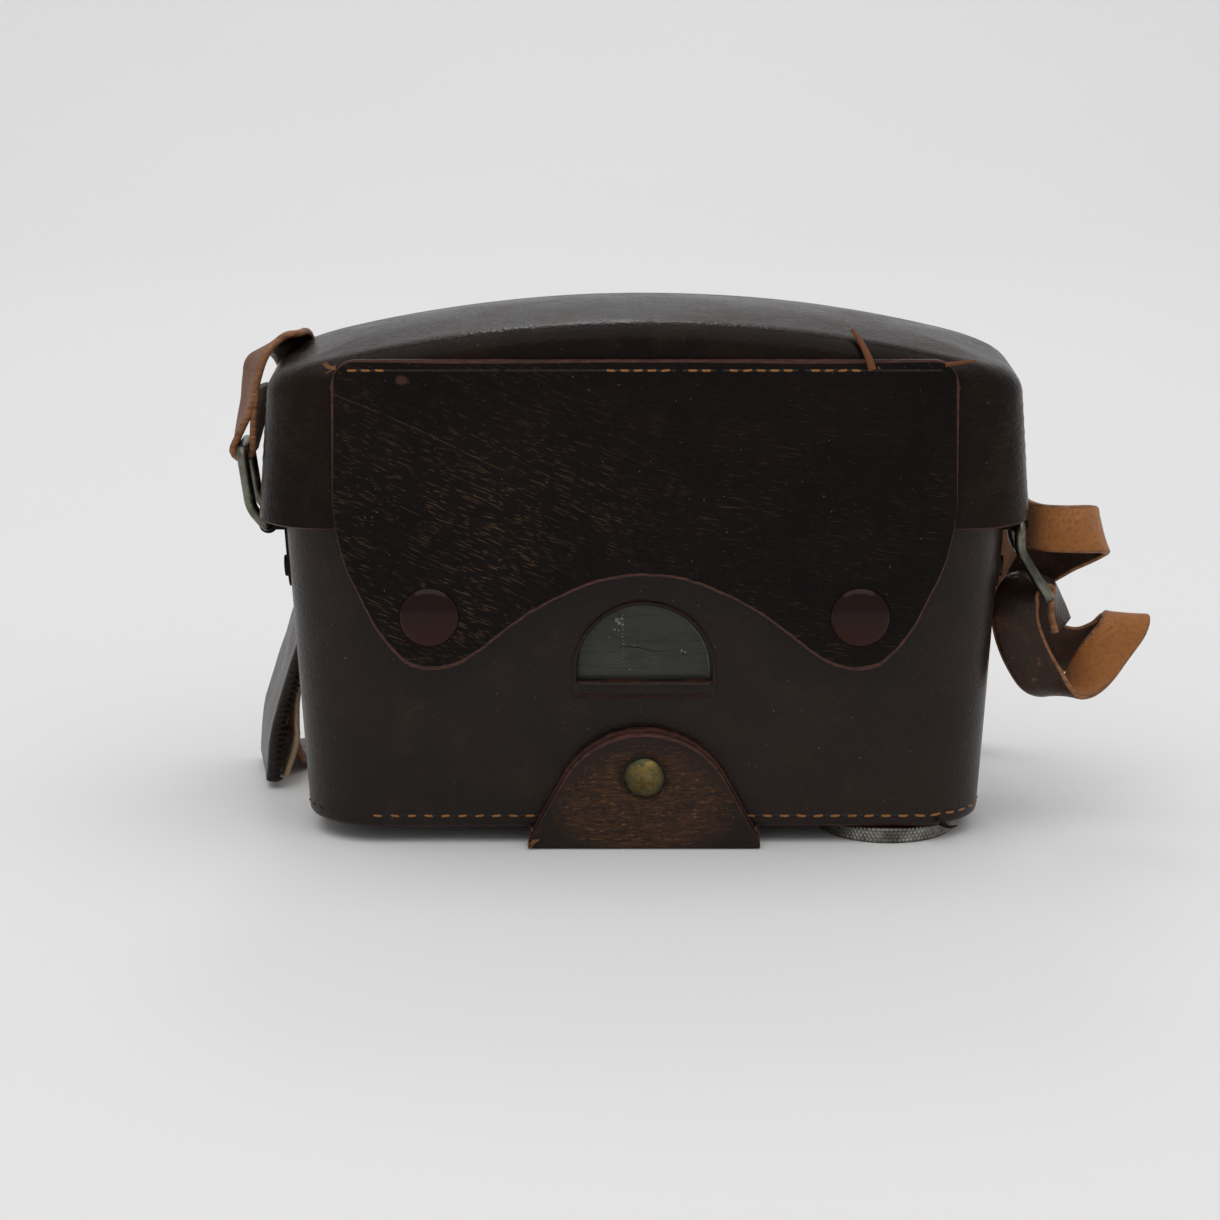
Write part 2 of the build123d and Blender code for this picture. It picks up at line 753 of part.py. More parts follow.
with BuildPart() as cover_stitching:
    with BuildSketch(Plane.XZ.offset(-cover_outer_face)):
        with Locations((0, panel_middle)):
            RectangleRounded(
                2 * (panel_half_width + cover_thread_margin),
                panel_high - panel_low + 2 * cover_thread_margin,
                panel_radius + cover_thread_margin,
            )
            RectangleRounded(
                2 * (panel_half_width + cover_thread_margin - thread),
                panel_high - panel_low + 2 * (cover_thread_margin - thread),
                panel_radius + cover_thread_margin - thread,
                mode=Mode.SUBTRACT,
            )
    extrude(amount=-thread)
cover_stitching.part.label = "cover_stitching"
export_step(cover_stitching.part, "parts/cover_stitching.step")


# Half-round tab of two leather layers
def tab_outline(margin):
    with BuildSketch() as profile:
        with BuildLine():
            Line((-tab_half_width + margin, hinge_floor), (tab_half_width - margin, hinge_floor))
            Line((tab_half_width - margin, hinge_floor), (tab_knee_half_width - margin, tab_knee_height))
            ThreePointArc(
                (tab_knee_half_width - margin, tab_knee_height),
                (0, tab_top - margin),
                (margin - tab_knee_half_width, tab_knee_height),
            )
            Line((margin - tab_knee_half_width, tab_knee_height), (margin - tab_half_width, hinge_floor))
        make_face()
    return profile.sketch


tab_profile = tab_outline(0)
tab_thread_outline = tab_outline(tab_thread_margin)
tab_thread_hollow = tab_outline(tab_thread_margin + thread)

with BuildPart() as tab_inner:
    extrude(on_wall(tab_profile, tab_inner_face), amount=tab_layer)
    with BuildSketch(Plane.XZ.offset(tab_inner_face)):
        with Locations((0, tab_snap_height)):
            Circle(tab_socket_radius + post_fit)
    extrude(amount=tab_socket_height, mode=Mode.SUBTRACT)
    with BuildSketch(Plane.XZ.offset(tab_inner_face)):
        with Locations((0, tab_snap_height)):
            Circle(snap_post_radius + post_fit)
    extrude(amount=tab_layer, mode=Mode.SUBTRACT)
tab_inner.part.label = "tab_inner"
export_step(tab_inner.part, "parts/tab_inner.step")

with BuildPart() as tab_outer:
    extrude(on_wall(tab_profile, tab_inner_face + tab_layer), amount=tab_layer)
    with BuildSketch(Plane.XZ.offset(tab_outer_face)):
        with Locations((0, tab_snap_height)):
            Circle(tab_recess_radius)
    extrude(amount=-tab_recess_depth, mode=Mode.SUBTRACT)
    with BuildSketch(Plane.XZ.offset(tab_outer_face)):
        with Locations((0, tab_snap_height)):
            Circle(snap_post_radius + post_fit)
    extrude(amount=-tab_layer, mode=Mode.SUBTRACT)
tab_outer.part.label = "tab_outer"
export_step(tab_outer.part, "parts/tab_outer.step")

with BuildPart() as tab_stitching:
    extrude(on_wall(tab_thread_outline, tab_outer_face), amount=thread / 2)
    extrude(on_wall(tab_thread_hollow, tab_outer_face), amount=thread, mode=Mode.SUBTRACT)
    split(bisect_by=Plane.XY.offset(hinge_floor + tab_thread_margin), keep=Keep.TOP)
tab_stitching.part.label = "tab_stitching"
export_step(tab_stitching.part, "parts/tab_stitching.step")

cap_seat = tab_outer_face - tab_recess_depth
socket_seat = tab_inner_face + tab_socket_height

with BuildPart() as tab_snap_cap:
    with BuildSketch(Plane.XZ.offset(cap_seat)):
        with Locations((0, tab_snap_height)):
            Circle(tab_cap_radius)
    extrude(amount=tab_cap_rim + tab_cap_height)
    fillet(tab_snap_cap.edges().filter_by(GeomType.CIRCLE).sort_by(Axis.Y)[0], tab_cap_round)
    with BuildSketch(Plane.XZ.offset(cap_seat)):
        with Locations((0, tab_snap_height)):
            Circle(snap_post_radius)
    extrude(amount=socket_seat - cap_seat)
tab_snap_cap.part.label = "tab_snap_cap"
export_step(tab_snap_cap.part, "parts/tab_snap_cap.step")

with BuildPart() as tab_snap_socket:
    with BuildSketch(Plane.XZ.offset(tab_inner_face)):
        with Locations((0, tab_snap_height)):
            Circle(tab_socket_radius)
            Circle(socket_mouth_radius, mode=Mode.SUBTRACT)
    extrude(amount=tab_socket_height)
tab_snap_socket.part.label = "tab_snap_socket"
export_step(tab_snap_socket.part, "parts/tab_snap_socket.step")


# Strap rings. The right one hangs, and the left one is held up by its strap.
def ring_corners(side, neck_angle, reach_angle):
    pivot = (side * ring_pivot_x, ring_pivot_z)
    elbow = (
        pivot[0] + side * ring_neck * cos(radians(neck_angle)),
        pivot[1] + ring_neck * sin(radians(neck_angle)),
    )
    bar = (
        elbow[0] + side * ring_reach * cos(radians(reach_angle)),
        elbow[1] + ring_reach * sin(radians(reach_angle)),
    )
    return pivot, elbow, bar


right_ring = ring_corners(1, ring_hang_angle, ring_hang_angle + ring_turn)
left_ring = ring_corners(-1, ring_up_angle, ring_up_angle + ring_turn)

for node, (pivot, elbow, bar) in (("ring_left", left_ring), ("ring_right", right_ring)):
    with BuildPart() as ring:
        with BuildLine() as wire_path:
            FilletPolyline(
                (pivot[0], wire_butt_gap / 2, pivot[1]),
                (pivot[0], ring_half_width, pivot[1]),
                (elbow[0], ring_half_width, elbow[1]),
                (bar[0], ring_half_width, bar[1]),
                (bar[0], -ring_half_width, bar[1]),
                (elbow[0], -ring_half_width, elbow[1]),
                (pivot[0], -ring_half_width, pivot[1]),
                (pivot[0], -wire_butt_gap / 2, pivot[1]),
                radius=[
                    ring_pivot_corner_radius,
                    ring_corner_radius,
                    ring_corner_radius,
                    ring_corner_radius,
                    ring_corner_radius,
                    ring_pivot_corner_radius,
                ],
            )
        with BuildSketch(Plane(origin=wire_path.line @ 0, z_dir=wire_path.line % 0)):
            Circle(wire_radius)
        sweep()
    ring.part.label = node
    export_step(ring.part, f"parts/{node}.step")

# Folded strap ends: the leather goes round the ring's bar and back on itself
fold_inner = wire_radius + strap_fold_fit
fold_outer = fold_inner + strap_thickness

for node, (pivot, elbow, bar) in (("strap_left_end", left_ring), ("strap_right_end", right_ring)):
    reach_x = (bar[0] - elbow[0]) / ring_reach
    reach_z = (bar[1] - elbow[1]) / ring_reach
    fold_plane = Plane(
        origin=(bar[0], -strap_width / 2, bar[1]), x_dir=(reach_x, 0, reach_z), z_dir=(0, -1, 0)
    )
    with BuildPart() as strap_end:
        with BuildSketch(fold_plane):
            Circle(fold_outer)
            with Locations((strap_end_length / 2, 0)):
                Rectangle(strap_end_length, 2 * fold_outer)
            Circle(fold_inner, mode=Mode.SUBTRACT)
            with Locations((strap_end_length / 2, 0)):
                Rectangle(strap_end_length, 2 * fold_inner, mode=Mode.SUBTRACT)
        extrude(amount=-strap_width)
    strap_end.part.label = node
    export_step(strap_end.part, f"parts/{node}.step")


# A flat strip whose edge follows a route, with its width square to the route's plane
def strip(plane, route, bend, thickness, width):
    with BuildPart() as piece:
        with BuildSketch(plane):
            with BuildLine():
                centre = FilletPolyline(*route, radius=bend)
                offset(centre, amount=thickness, side=Side.LEFT)
            make_face()
        extrude(amount=width)
    return piece.part


# Free strap on the left: up from the ring, over the lid's shoulder and down behind the case
left_bar = left_ring[2]
left_lean = radians(180 - ring_up_angle - ring_turn)
left_start_x = left_bar[0] + (strap_end_length + strap_clear) * cos(left_lean)
left_start_z = left_bar[1] + (strap_end_length + strap_clear) * sin(left_lean)
strap_top = crown_height_at(strap_drop_x) + strap_clear
strap_back_face = lid_rim_half_depth + hinge_leather + strap_clear

strap_over_lid = strip(
    Plane.XZ.offset(strap_width / 2),
    (
        (left_start_x, left_start_z),
        (left_start_x + strap_lean, strap_top - strap_shoulder_drop),
        (left_start_x + strap_shoulder_run, strap_top),
        (strap_drop_x, strap_top),
    ),
    strap_bend,
    strap_thickness,
    -strap_width,
)
strap_over_lid.label = "strap_over_lid"
export_step(strap_over_lid, "parts/strap_over_lid.step")

strap_behind_lid = strip(
    Plane.YZ.offset(strap_drop_x - strap_width),
    (
        (strap_width / 2 + strap_clear, strap_top),
        (strap_back_face, strap_top),
        (strap_back_face, pad_top + strap_width),
    ),
    strap_bend,
    strap_thickness,
    strap_width,
)
strap_behind_lid.label = "strap_behind_lid"
export_step(strap_behind_lid, "parts/strap_behind_lid.step")

# Shoulder pad that leans behind the case's left end, with its lining on the inside
pad_route = [(-body_half_width_at(height) - distance, height) for distance, height in pad_points]

shoulder_pad = strip(Plane.XZ.offset(-pad_near), pad_route, pad_bend, pad_thickness, -pad_width)
shoulder_pad.label = "shoulder_pad"
export_step(shoulder_pad, "parts/shoulder_pad.step")

pad_and_lining = strip(
    Plane.XZ.offset(-pad_near - pad_margin),
    pad_route,
    pad_bend,
    pad_thickness + pad_lining_thickness,
    2 * pad_margin - pad_width,
)

with BuildPart() as pad_lining:
    add(pad_and_lining)
    add(shoulder_pad, mode=Mode.SUBTRACT)
pad_lining.part.label = "pad_lining"
export_step(pad_lining.part, "parts/pad_lining.step")

# Free strap on the right: it hangs from the ring in a low loop, folds back behind itself,
# rises into a second loop beside the rim, and then runs back along the case's side.
right_bar = right_ring[2]
right_lean = radians(ring_hang_angle + ring_turn)
right_end_x = right_bar[0] + (strap_end_length + strap_clear) * cos(right_lean)
right_end_z = right_bar[1] + (strap_end_length + strap_clear) * sin(right_lean)
low_loop = [(right_end_x + along, right_end_z + up) for along, up in low_loop_steps]
top_fold = [(right_end_x + along, right_end_z + up) for along, up in top_fold_steps]
high_loop = [(ring_pivot_x + out, back) for out, back in high_loop_steps]
high_loop_z = ring_pivot_z - high_loop_drop
back_run_x = high_loop[-1][0]
back_run_end_x = pad_route[2][0]

strap_right_lower = strip(
    Plane.XZ.offset(strap_width / 2),
    low_loop,
    strap_bend,
    strap_thickness,
    -strap_width,
)
strap_right_lower.label = "strap_right_lower"
export_step(strap_right_lower, "parts/strap_right_lower.step")

strap_right_fold = strip(
    Plane.XZ.offset(-strap_width / 2 - strap_clear),
    [low_loop[-1], *top_fold],
    strap_bend,
    strap_thickness,
    -strap_width,
)
strap_right_fold.label = "strap_right_fold"
export_step(strap_right_fold, "parts/strap_right_fold.step")

strap_right_upper = strip(
    Plane.XY.offset(high_loop_z),
    high_loop,
    strap_bend,
    strap_thickness,
    strap_width,
)
strap_right_upper.label = "strap_right_upper"
export_step(strap_right_upper, "parts/strap_right_upper.step")

with BuildPart() as strap_back_run:
    with BuildSketch(Plane.YZ.offset(back_run_x)):
        with BuildLine():
            Polyline(
                (back_run_start_y, high_loop_z),
                (back_run_start_y, high_loop_z + strap_width),
                (back_run_y, floor_clear + strap_width),
                (back_run_y + strap_width, floor_clear),
                (back_run_y, floor_clear),
                close=True,
            )
        make_face()
    extrude(amount=strap_thickness)
    with BuildSketch(Plane.XY.offset(floor_clear)):
        with Locations(((back_run_x + back_run_end_x) / 2, back_run_y + strap_width / 2)):
            Rectangle(back_run_x - back_run_end_x, strap_width)
    extrude(amount=strap_thickness)
strap_back_run.part.label = "strap_back_run"
export_step(strap_back_run.part, "parts/strap_back_run.step")
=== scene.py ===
import json
import math
import random

import bmesh
import bpy
from mathutils import Vector, noise
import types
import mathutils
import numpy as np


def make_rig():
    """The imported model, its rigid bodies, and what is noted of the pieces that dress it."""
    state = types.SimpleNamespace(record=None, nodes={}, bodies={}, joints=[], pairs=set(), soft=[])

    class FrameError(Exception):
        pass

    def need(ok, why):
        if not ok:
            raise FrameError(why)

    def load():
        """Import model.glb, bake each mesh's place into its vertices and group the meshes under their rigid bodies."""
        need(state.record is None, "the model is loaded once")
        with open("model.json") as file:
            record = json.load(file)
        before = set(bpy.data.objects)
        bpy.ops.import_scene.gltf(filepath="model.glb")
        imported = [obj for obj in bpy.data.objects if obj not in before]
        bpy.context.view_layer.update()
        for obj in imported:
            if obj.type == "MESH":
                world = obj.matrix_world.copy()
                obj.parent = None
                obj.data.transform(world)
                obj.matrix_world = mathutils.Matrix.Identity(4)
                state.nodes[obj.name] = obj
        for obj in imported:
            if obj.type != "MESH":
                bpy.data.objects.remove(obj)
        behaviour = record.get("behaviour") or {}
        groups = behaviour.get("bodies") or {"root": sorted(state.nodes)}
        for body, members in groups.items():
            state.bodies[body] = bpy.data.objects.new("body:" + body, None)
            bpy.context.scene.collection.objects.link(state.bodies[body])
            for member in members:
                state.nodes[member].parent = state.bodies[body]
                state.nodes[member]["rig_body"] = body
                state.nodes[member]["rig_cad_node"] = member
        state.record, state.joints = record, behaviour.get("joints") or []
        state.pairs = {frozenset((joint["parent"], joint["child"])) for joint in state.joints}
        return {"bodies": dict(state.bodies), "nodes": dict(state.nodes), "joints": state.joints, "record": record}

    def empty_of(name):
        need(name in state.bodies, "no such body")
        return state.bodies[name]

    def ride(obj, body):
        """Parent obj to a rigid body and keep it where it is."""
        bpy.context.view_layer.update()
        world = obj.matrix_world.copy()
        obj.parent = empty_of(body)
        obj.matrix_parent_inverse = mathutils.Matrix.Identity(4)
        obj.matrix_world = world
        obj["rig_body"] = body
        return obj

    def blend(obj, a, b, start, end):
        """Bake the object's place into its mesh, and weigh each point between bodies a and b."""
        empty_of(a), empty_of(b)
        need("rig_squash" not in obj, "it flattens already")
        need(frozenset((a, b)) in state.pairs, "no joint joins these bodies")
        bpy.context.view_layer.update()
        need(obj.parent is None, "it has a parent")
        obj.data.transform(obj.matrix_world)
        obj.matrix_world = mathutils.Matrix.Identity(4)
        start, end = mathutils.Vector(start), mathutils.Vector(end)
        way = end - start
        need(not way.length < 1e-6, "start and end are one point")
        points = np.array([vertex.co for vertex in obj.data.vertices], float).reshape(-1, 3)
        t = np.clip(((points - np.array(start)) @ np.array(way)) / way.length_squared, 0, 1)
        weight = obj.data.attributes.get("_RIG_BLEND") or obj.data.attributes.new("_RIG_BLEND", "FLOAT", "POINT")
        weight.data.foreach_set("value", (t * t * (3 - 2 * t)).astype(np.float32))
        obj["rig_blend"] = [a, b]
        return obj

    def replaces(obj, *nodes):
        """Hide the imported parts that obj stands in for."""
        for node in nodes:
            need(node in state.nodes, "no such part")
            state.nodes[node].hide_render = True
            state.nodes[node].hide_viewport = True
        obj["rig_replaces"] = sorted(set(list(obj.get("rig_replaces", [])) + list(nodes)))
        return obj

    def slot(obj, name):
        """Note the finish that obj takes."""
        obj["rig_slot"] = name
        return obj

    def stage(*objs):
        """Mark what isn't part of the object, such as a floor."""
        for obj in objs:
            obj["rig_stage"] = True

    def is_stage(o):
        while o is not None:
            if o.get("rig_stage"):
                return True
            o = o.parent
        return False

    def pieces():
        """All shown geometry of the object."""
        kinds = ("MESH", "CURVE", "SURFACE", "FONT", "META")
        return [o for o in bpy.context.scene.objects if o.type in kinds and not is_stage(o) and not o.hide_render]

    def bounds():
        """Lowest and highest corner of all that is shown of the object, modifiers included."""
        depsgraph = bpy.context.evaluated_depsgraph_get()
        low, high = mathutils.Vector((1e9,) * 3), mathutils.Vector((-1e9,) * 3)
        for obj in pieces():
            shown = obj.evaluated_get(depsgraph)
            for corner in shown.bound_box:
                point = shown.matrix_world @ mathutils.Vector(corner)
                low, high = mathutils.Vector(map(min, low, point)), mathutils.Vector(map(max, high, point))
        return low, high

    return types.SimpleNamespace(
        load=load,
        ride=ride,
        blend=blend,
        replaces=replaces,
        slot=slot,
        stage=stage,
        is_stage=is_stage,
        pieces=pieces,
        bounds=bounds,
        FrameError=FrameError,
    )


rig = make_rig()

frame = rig.load()
nodes = frame["nodes"]
startLow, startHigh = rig.bounds()
print("frame loaded")

mm = 0.001


# meshes: every length below is in millimetres until it reaches makeObject

def makeObject(name, points, faces, materials, faceMaterials=None, sharp=40):
    mesh = bpy.data.meshes.new(name)
    mesh.from_pydata([tuple(Vector(p) * mm) for p in points], [], faces)
    for material in materials:
        mesh.materials.append(material)
    if faceMaterials:
        mesh.polygons.foreach_set("material_index", faceMaterials)
    obj = bpy.data.objects.new(name, mesh)
    bpy.context.scene.collection.objects.link(obj)
    tidyMesh(obj, sharp)
    return obj


def tidyMesh(obj, sharp=40):
    form = bmesh.new()
    form.from_mesh(obj.data)
    bmesh.ops.remove_doubles(form, verts=form.verts, dist=0.004 * mm)
    bmesh.ops.dissolve_degenerate(form, edges=form.edges, dist=0.002 * mm)
    bmesh.ops.recalc_face_normals(form, faces=form.faces)
    form.to_mesh(obj.data)
    form.free()
    obj.data.polygons.foreach_set("use_smooth", [True] * len(obj.data.polygons))
    obj.data.set_sharp_from_angle(angle=math.radians(sharp))


def settle(obj):
    # what is live on the piece is applied, so its mesh is final
    seen = bpy.context.evaluated_depsgraph_get()
    mesh = bpy.data.meshes.new_from_object(obj.evaluated_get(seen))
    old = obj.data
    obj.modifiers.clear()
    obj.data = mesh
    bpy.data.meshes.remove(old)


def skin(name, rows, materials, rowMaterials=None, closed=True, ends="open", sharp=40):
    # rows of equal length become one surface; ends is "open", "capped" or "joined"
    across = len(rows[0])
    points = [p for row in rows for p in row]
    faces, picks = [], []
    rowCount = len(rows)
    for i in range(rowCount if ends == "joined" else rowCount - 1):
        following = (i + 1) % rowCount
        for j in range(across if closed else across - 1):
            k = (j + 1) % across
            faces.append((i * across + j, i * across + k, following * across + k, following * across + j))
            picks.append(rowMaterials(i, j) if rowMaterials else 0)
    if ends == "capped":
        faces.append(tuple(range(across)))
        faces.append(tuple((rowCount - 1) * across + j for j in reversed(range(across))))
        picks += [rowMaterials(0, 0) if rowMaterials else 0] * 2
    return makeObject(name, points, faces, materials, picks, sharp)


def plan(halfX, halfY, radius, alongX, alongY, corner):
    # a rounded rectangle seen from above, the same point count at any size
    radius = max(0, min(radius, halfX, halfY))
    cx, cy = halfX - radius, halfY - radius
    sides = (((-cx, -halfY), (cx, -halfY), alongX, (cx, -cy), -90),
             ((halfX, -cy), (halfX, cy), alongY, (cx, cy), 0),
             ((cx, halfY), (-cx, halfY), alongX, (-cx, cy), 90),
             ((-halfX, cy), (-halfX, -cy), alongY, (-cx, -cy), 180))
    points = []
    for start, end, count, centre, turn in sides:
        for i in range(count):
            f = i / count
            points.append((start[0] + (end[0] - start[0]) * f, start[1] + (end[1] - start[1]) * f))
        for i in range(corner):
            a = math.radians(turn + 90 * i / corner)
            points.append((centre[0] + radius * math.cos(a), centre[1] + radius * math.sin(a)))
    return points


def drift(p, size=34, amount=0.12, seed=0):
    # soft unevenness of moulded leather
    v = noise.noise_vector(Vector((p[0] / size + seed, p[1] / size, p[2] / size)))
    return (p[0] + v.x * amount, p[1] + v.y * amount, p[2] + v.z * amount)


def smoothLine(points, steps=10):
    points = [Vector(p) for p in points]
    out = []
    for i in range(len(points) - 1):
        a, b = points[max(i - 1, 0)], points[i]
        c, d = points[i + 1], points[min(i + 2, len(points) - 1)]
        for k in range(steps):
            t = k / steps
            out.append(0.5 * (2 * b + (c - a) * t + (2 * a - 5 * b + 4 * c - d) * t * t
                              + (3 * b - a - 3 * c + d) * t ** 3))
    out.append(points[-1])
    return out


def walk(points, count):
    # count + 1 places the same distance apart: the stretch each lies in and its share of that
    reach = [0]
    for a, b in zip(points, points[1:]):
        reach.append(reach[-1] + (b - a).length)
    k = 0
    for i in range(count + 1):
        want = reach[-1] * i / count
        while k < len(points) - 2 and reach[k + 1] < want:
            k += 1
        yield k, min(1, (want - reach[k]) / max(reach[k + 1] - reach[k], 1e-9))


def evenly(points, count):
    points = [Vector(p) for p in points]
    return [points[k].lerp(points[k + 1], part) for k, part in walk(points, count - 1)]


def lineLength(points):
    return sum((Vector(b) - Vector(a)).length for a, b in zip(points, points[1:]))


def lathe(name, profile, centre, axis, materials, around=64, sharp=40, wobble=0):
    # profile is (radius, height) along the axis, which is "z", "-y" or "y"
    rows = []
    for r, h in profile:
        row = []
        for i in range(around):
            a = 2 * math.pi * i / around
            rr = r * (1 + wobble * noise.noise(Vector((math.cos(a), math.sin(a), h / 5))))
            u, v = rr * math.cos(a), rr * math.sin(a)
            away = {"z": (u, v, h), "-y": (u, -h, v), "y": (u, h, v)}[axis]
            row.append([c + d for c, d in zip(centre, away)])
        rows.append(row)
    return skin(name, rows, materials, None, True, "open", sharp)


def tube(name, path, radius, material, sides=12, closed=False, taper=None):
    path = [Vector(p) for p in path]
    count = len(path)
    rows = []
    up = None
    for i, p in enumerate(path):
        if closed:
            t = (path[(i + 1) % count] - path[i - 1]).normalized()
        else:
            t = (path[min(i + 1, count - 1)] - path[max(i - 1, 0)]).normalized()
        if up is None:
            up = t.orthogonal().normalized()
        up = (up - t * up.dot(t)).normalized()
        side = t.cross(up)
        r = radius * (taper(i / (count - 1)) if taper else 1)
        rows.append([p + (up * math.cos(a) + side * math.sin(a)) * r
                     for a in [2 * math.pi * k / sides for k in range(sides)]])
    if closed:
        # the last ring is turned so that its points meet the first ring's
        start = (rows[0][0] - path[0]).normalized()
        t = (path[1] - path[-1]).normalized()
        turn = math.atan2(t.dot(up.cross(start)), up.dot(start))
        shift = round(turn / (2 * math.pi / sides))
        rest = turn - shift * 2 * math.pi / sides
        for i in range(count):
            ease = rest * i / count
            c, s = math.cos(ease), math.sin(ease)
            tt = (path[(i + 1) % count] - path[i - 1]).normalized()
            row = []
            for q in rows[i]:
                v = q - path[i]
                row.append(path[i] + v * c + tt.cross(v) * s)
            rows[i] = row
        rows.append(rows[0][-shift % sides:] + rows[0][:-shift % sides])
        return skin(name, rows, [material], None, True, "open", 60)
    return skin(name, rows, [material], None, True, "capped", 60)


def ribbonStations(stations, spacing=1.0):
    # stations are (centre, direction that the grain faces); the whole strap is sampled once
    centres = smoothLine([s[0] for s in stations], 24)
    faces = smoothLine([s[1] for s in stations], 24)
    count = max(4, int(lineLength(centres) / spacing))
    out = [[line[k].lerp(line[k + 1], part) for line in (centres, faces)] for k, part in walk(centres, count)]
    for i, item in enumerate(out):
        t = (out[min(i + 1, count)][0] - out[max(i - 1, 0)][0]).normalized()
        n = (item[1] - t * item[1].dot(t)).normalized()
        item[1] = n
        item.append(n.cross(t))
    return out


def ribbon(name, samples, width, thickness, materials, across=10, curl=0.25, wave=0.12, seed=0):
    # grain, suede and raw edge are the three materials
    rows = []
    edge = 4
    flat = width / 2 - thickness * 0.32
    for i, (centre, n, w) in enumerate(samples):
        row = []
        wander = 0.35 * noise.noise(Vector((i * 0.06, seed, 2.5)))
        for side in (1, -1):
            for j in range(across + 1):
                f = side * (2 * j / across - 1)
                lift = side * thickness / 2 - curl * f * f
                lift += wave * noise.noise(Vector((i * 0.11, f * 1.3, seed)))
                row.append(centre + w * (f * flat + wander) + n * lift)
            lift = wave * noise.noise(Vector((i * 0.11, side * 1.3, seed))) - curl
            middle = centre + w * (side * flat + wander) + n * lift
            for k in range(1, edge):
                a = math.pi * k / edge
                row.append(middle + n * side * math.cos(a) * thickness / 2
                           + w * side * math.sin(a) * thickness * 0.32)
        rows.append(row)
    half = across + edge

    def pick(i, j):
        j = j % (2 * half)
        if j < across:
            return 0
        return 1 if half <= j < half + across else 2
    return skin(name, rows, materials, pick, True, "capped", 55)


def sheetSolid(obj, thickness, round_, segments=3):
    solid = obj.modifiers.new("thickness", "SOLIDIFY")
    solid.thickness = thickness * mm
    solid.offset = -1
    solid.use_even_offset = False
    solid.use_quality_normals = True
    solid.material_offset = 1
    solid.material_offset_rim = 2
    bevel = obj.modifiers.new("edge", "BEVEL")
    bevel.width = round_ * mm
    bevel.segments = segments
    bevel.limit_method = "ANGLE"
    bevel.angle_limit = math.radians(55)
    settle(obj)
    obj.data.set_sharp_from_angle(angle=math.radians(50))


def cut(obj, cutters):
    for cutter in cutters:
        knife = obj.modifiers.new("hole", "BOOLEAN")
        knife.operation = "DIFFERENCE"
        knife.solver = "EXACT"
        knife.object = cutter
    settle(obj)
    for cutter in cutters:
        bpy.data.objects.remove(cutter)
    obj.data.set_sharp_from_angle(angle=math.radians(40))


def prism(name, outline, y0, y1, material):
    rows = [[(x, y, z) for x, z in outline] for y in (y0, y1)]
    return skin(name, rows, [material], None, True, "capped")


def labelled(obj, replaced, slot):
    if replaced:
        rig.replaces(obj, *replaced)
    if slot:
        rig.slot(obj, slot)
    return obj


def finished(obj, body, replaced=(), slot=None):
    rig.ride(obj, body)
    return labelled(obj, replaced, slot)


def bent(obj, bodies, start, end, replaced=(), slot=None):
    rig.blend(obj, *bodies, start, end)
    return labelled(obj, replaced, slot)


def levelRow(half, y, z, count):
    return [(-half + 2 * half * j / count, y, z) for j in range(count + 1)]


def faceTowards(obj, index, wanted):
    # a sheet is turned so that its grain side looks along wanted times Y
    if obj.data.polygons[index].normal.y * wanted < 0:
        obj.data.flip_normals()


# materials

def tone(red, green, blue):
    def linear(c):
        c = c / 255
        return c / 12.92 if c <= 0.04045 else ((c + 0.055) / 1.055) ** 2.4
    return (linear(red), linear(green), linear(blue), 1)


class Socket:
    def __init__(self, finish, link):
        self.finish = finish
        self.link = link

    def maths(self, operation, *others):
        return self.finish.maths(operation, self, *others)

    def __add__(self, other):
        return self.maths("ADD", other)

    __radd__ = __add__

    def __sub__(self, other):
        return self.maths("SUBTRACT", other)

    def __rsub__(self, other):
        return self.finish.maths("SUBTRACT", other, self)

    def __mul__(self, other):
        return self.maths("MULTIPLY", other)

    __rmul__ = __mul__

    def __truediv__(self, other):
        return self.maths("DIVIDE", other)

    def __pow__(self, other):
        return self.maths("POWER", other)

    def __abs__(self):
        return self.maths("ABSOLUTE")

    def ramp(self, low, high):
        # 0 below low and 1 above high, or the other way round where low is the larger
        if low < high:
            return self.finish.node("ShaderNodeMapRange", {"interpolation_type": "SMOOTHSTEP"}, {
                "Value": self, "From Min": low, "From Max": high, "To Min": 0.0, "To Max": 1.0})
        return 1 - self.ramp(high, low)


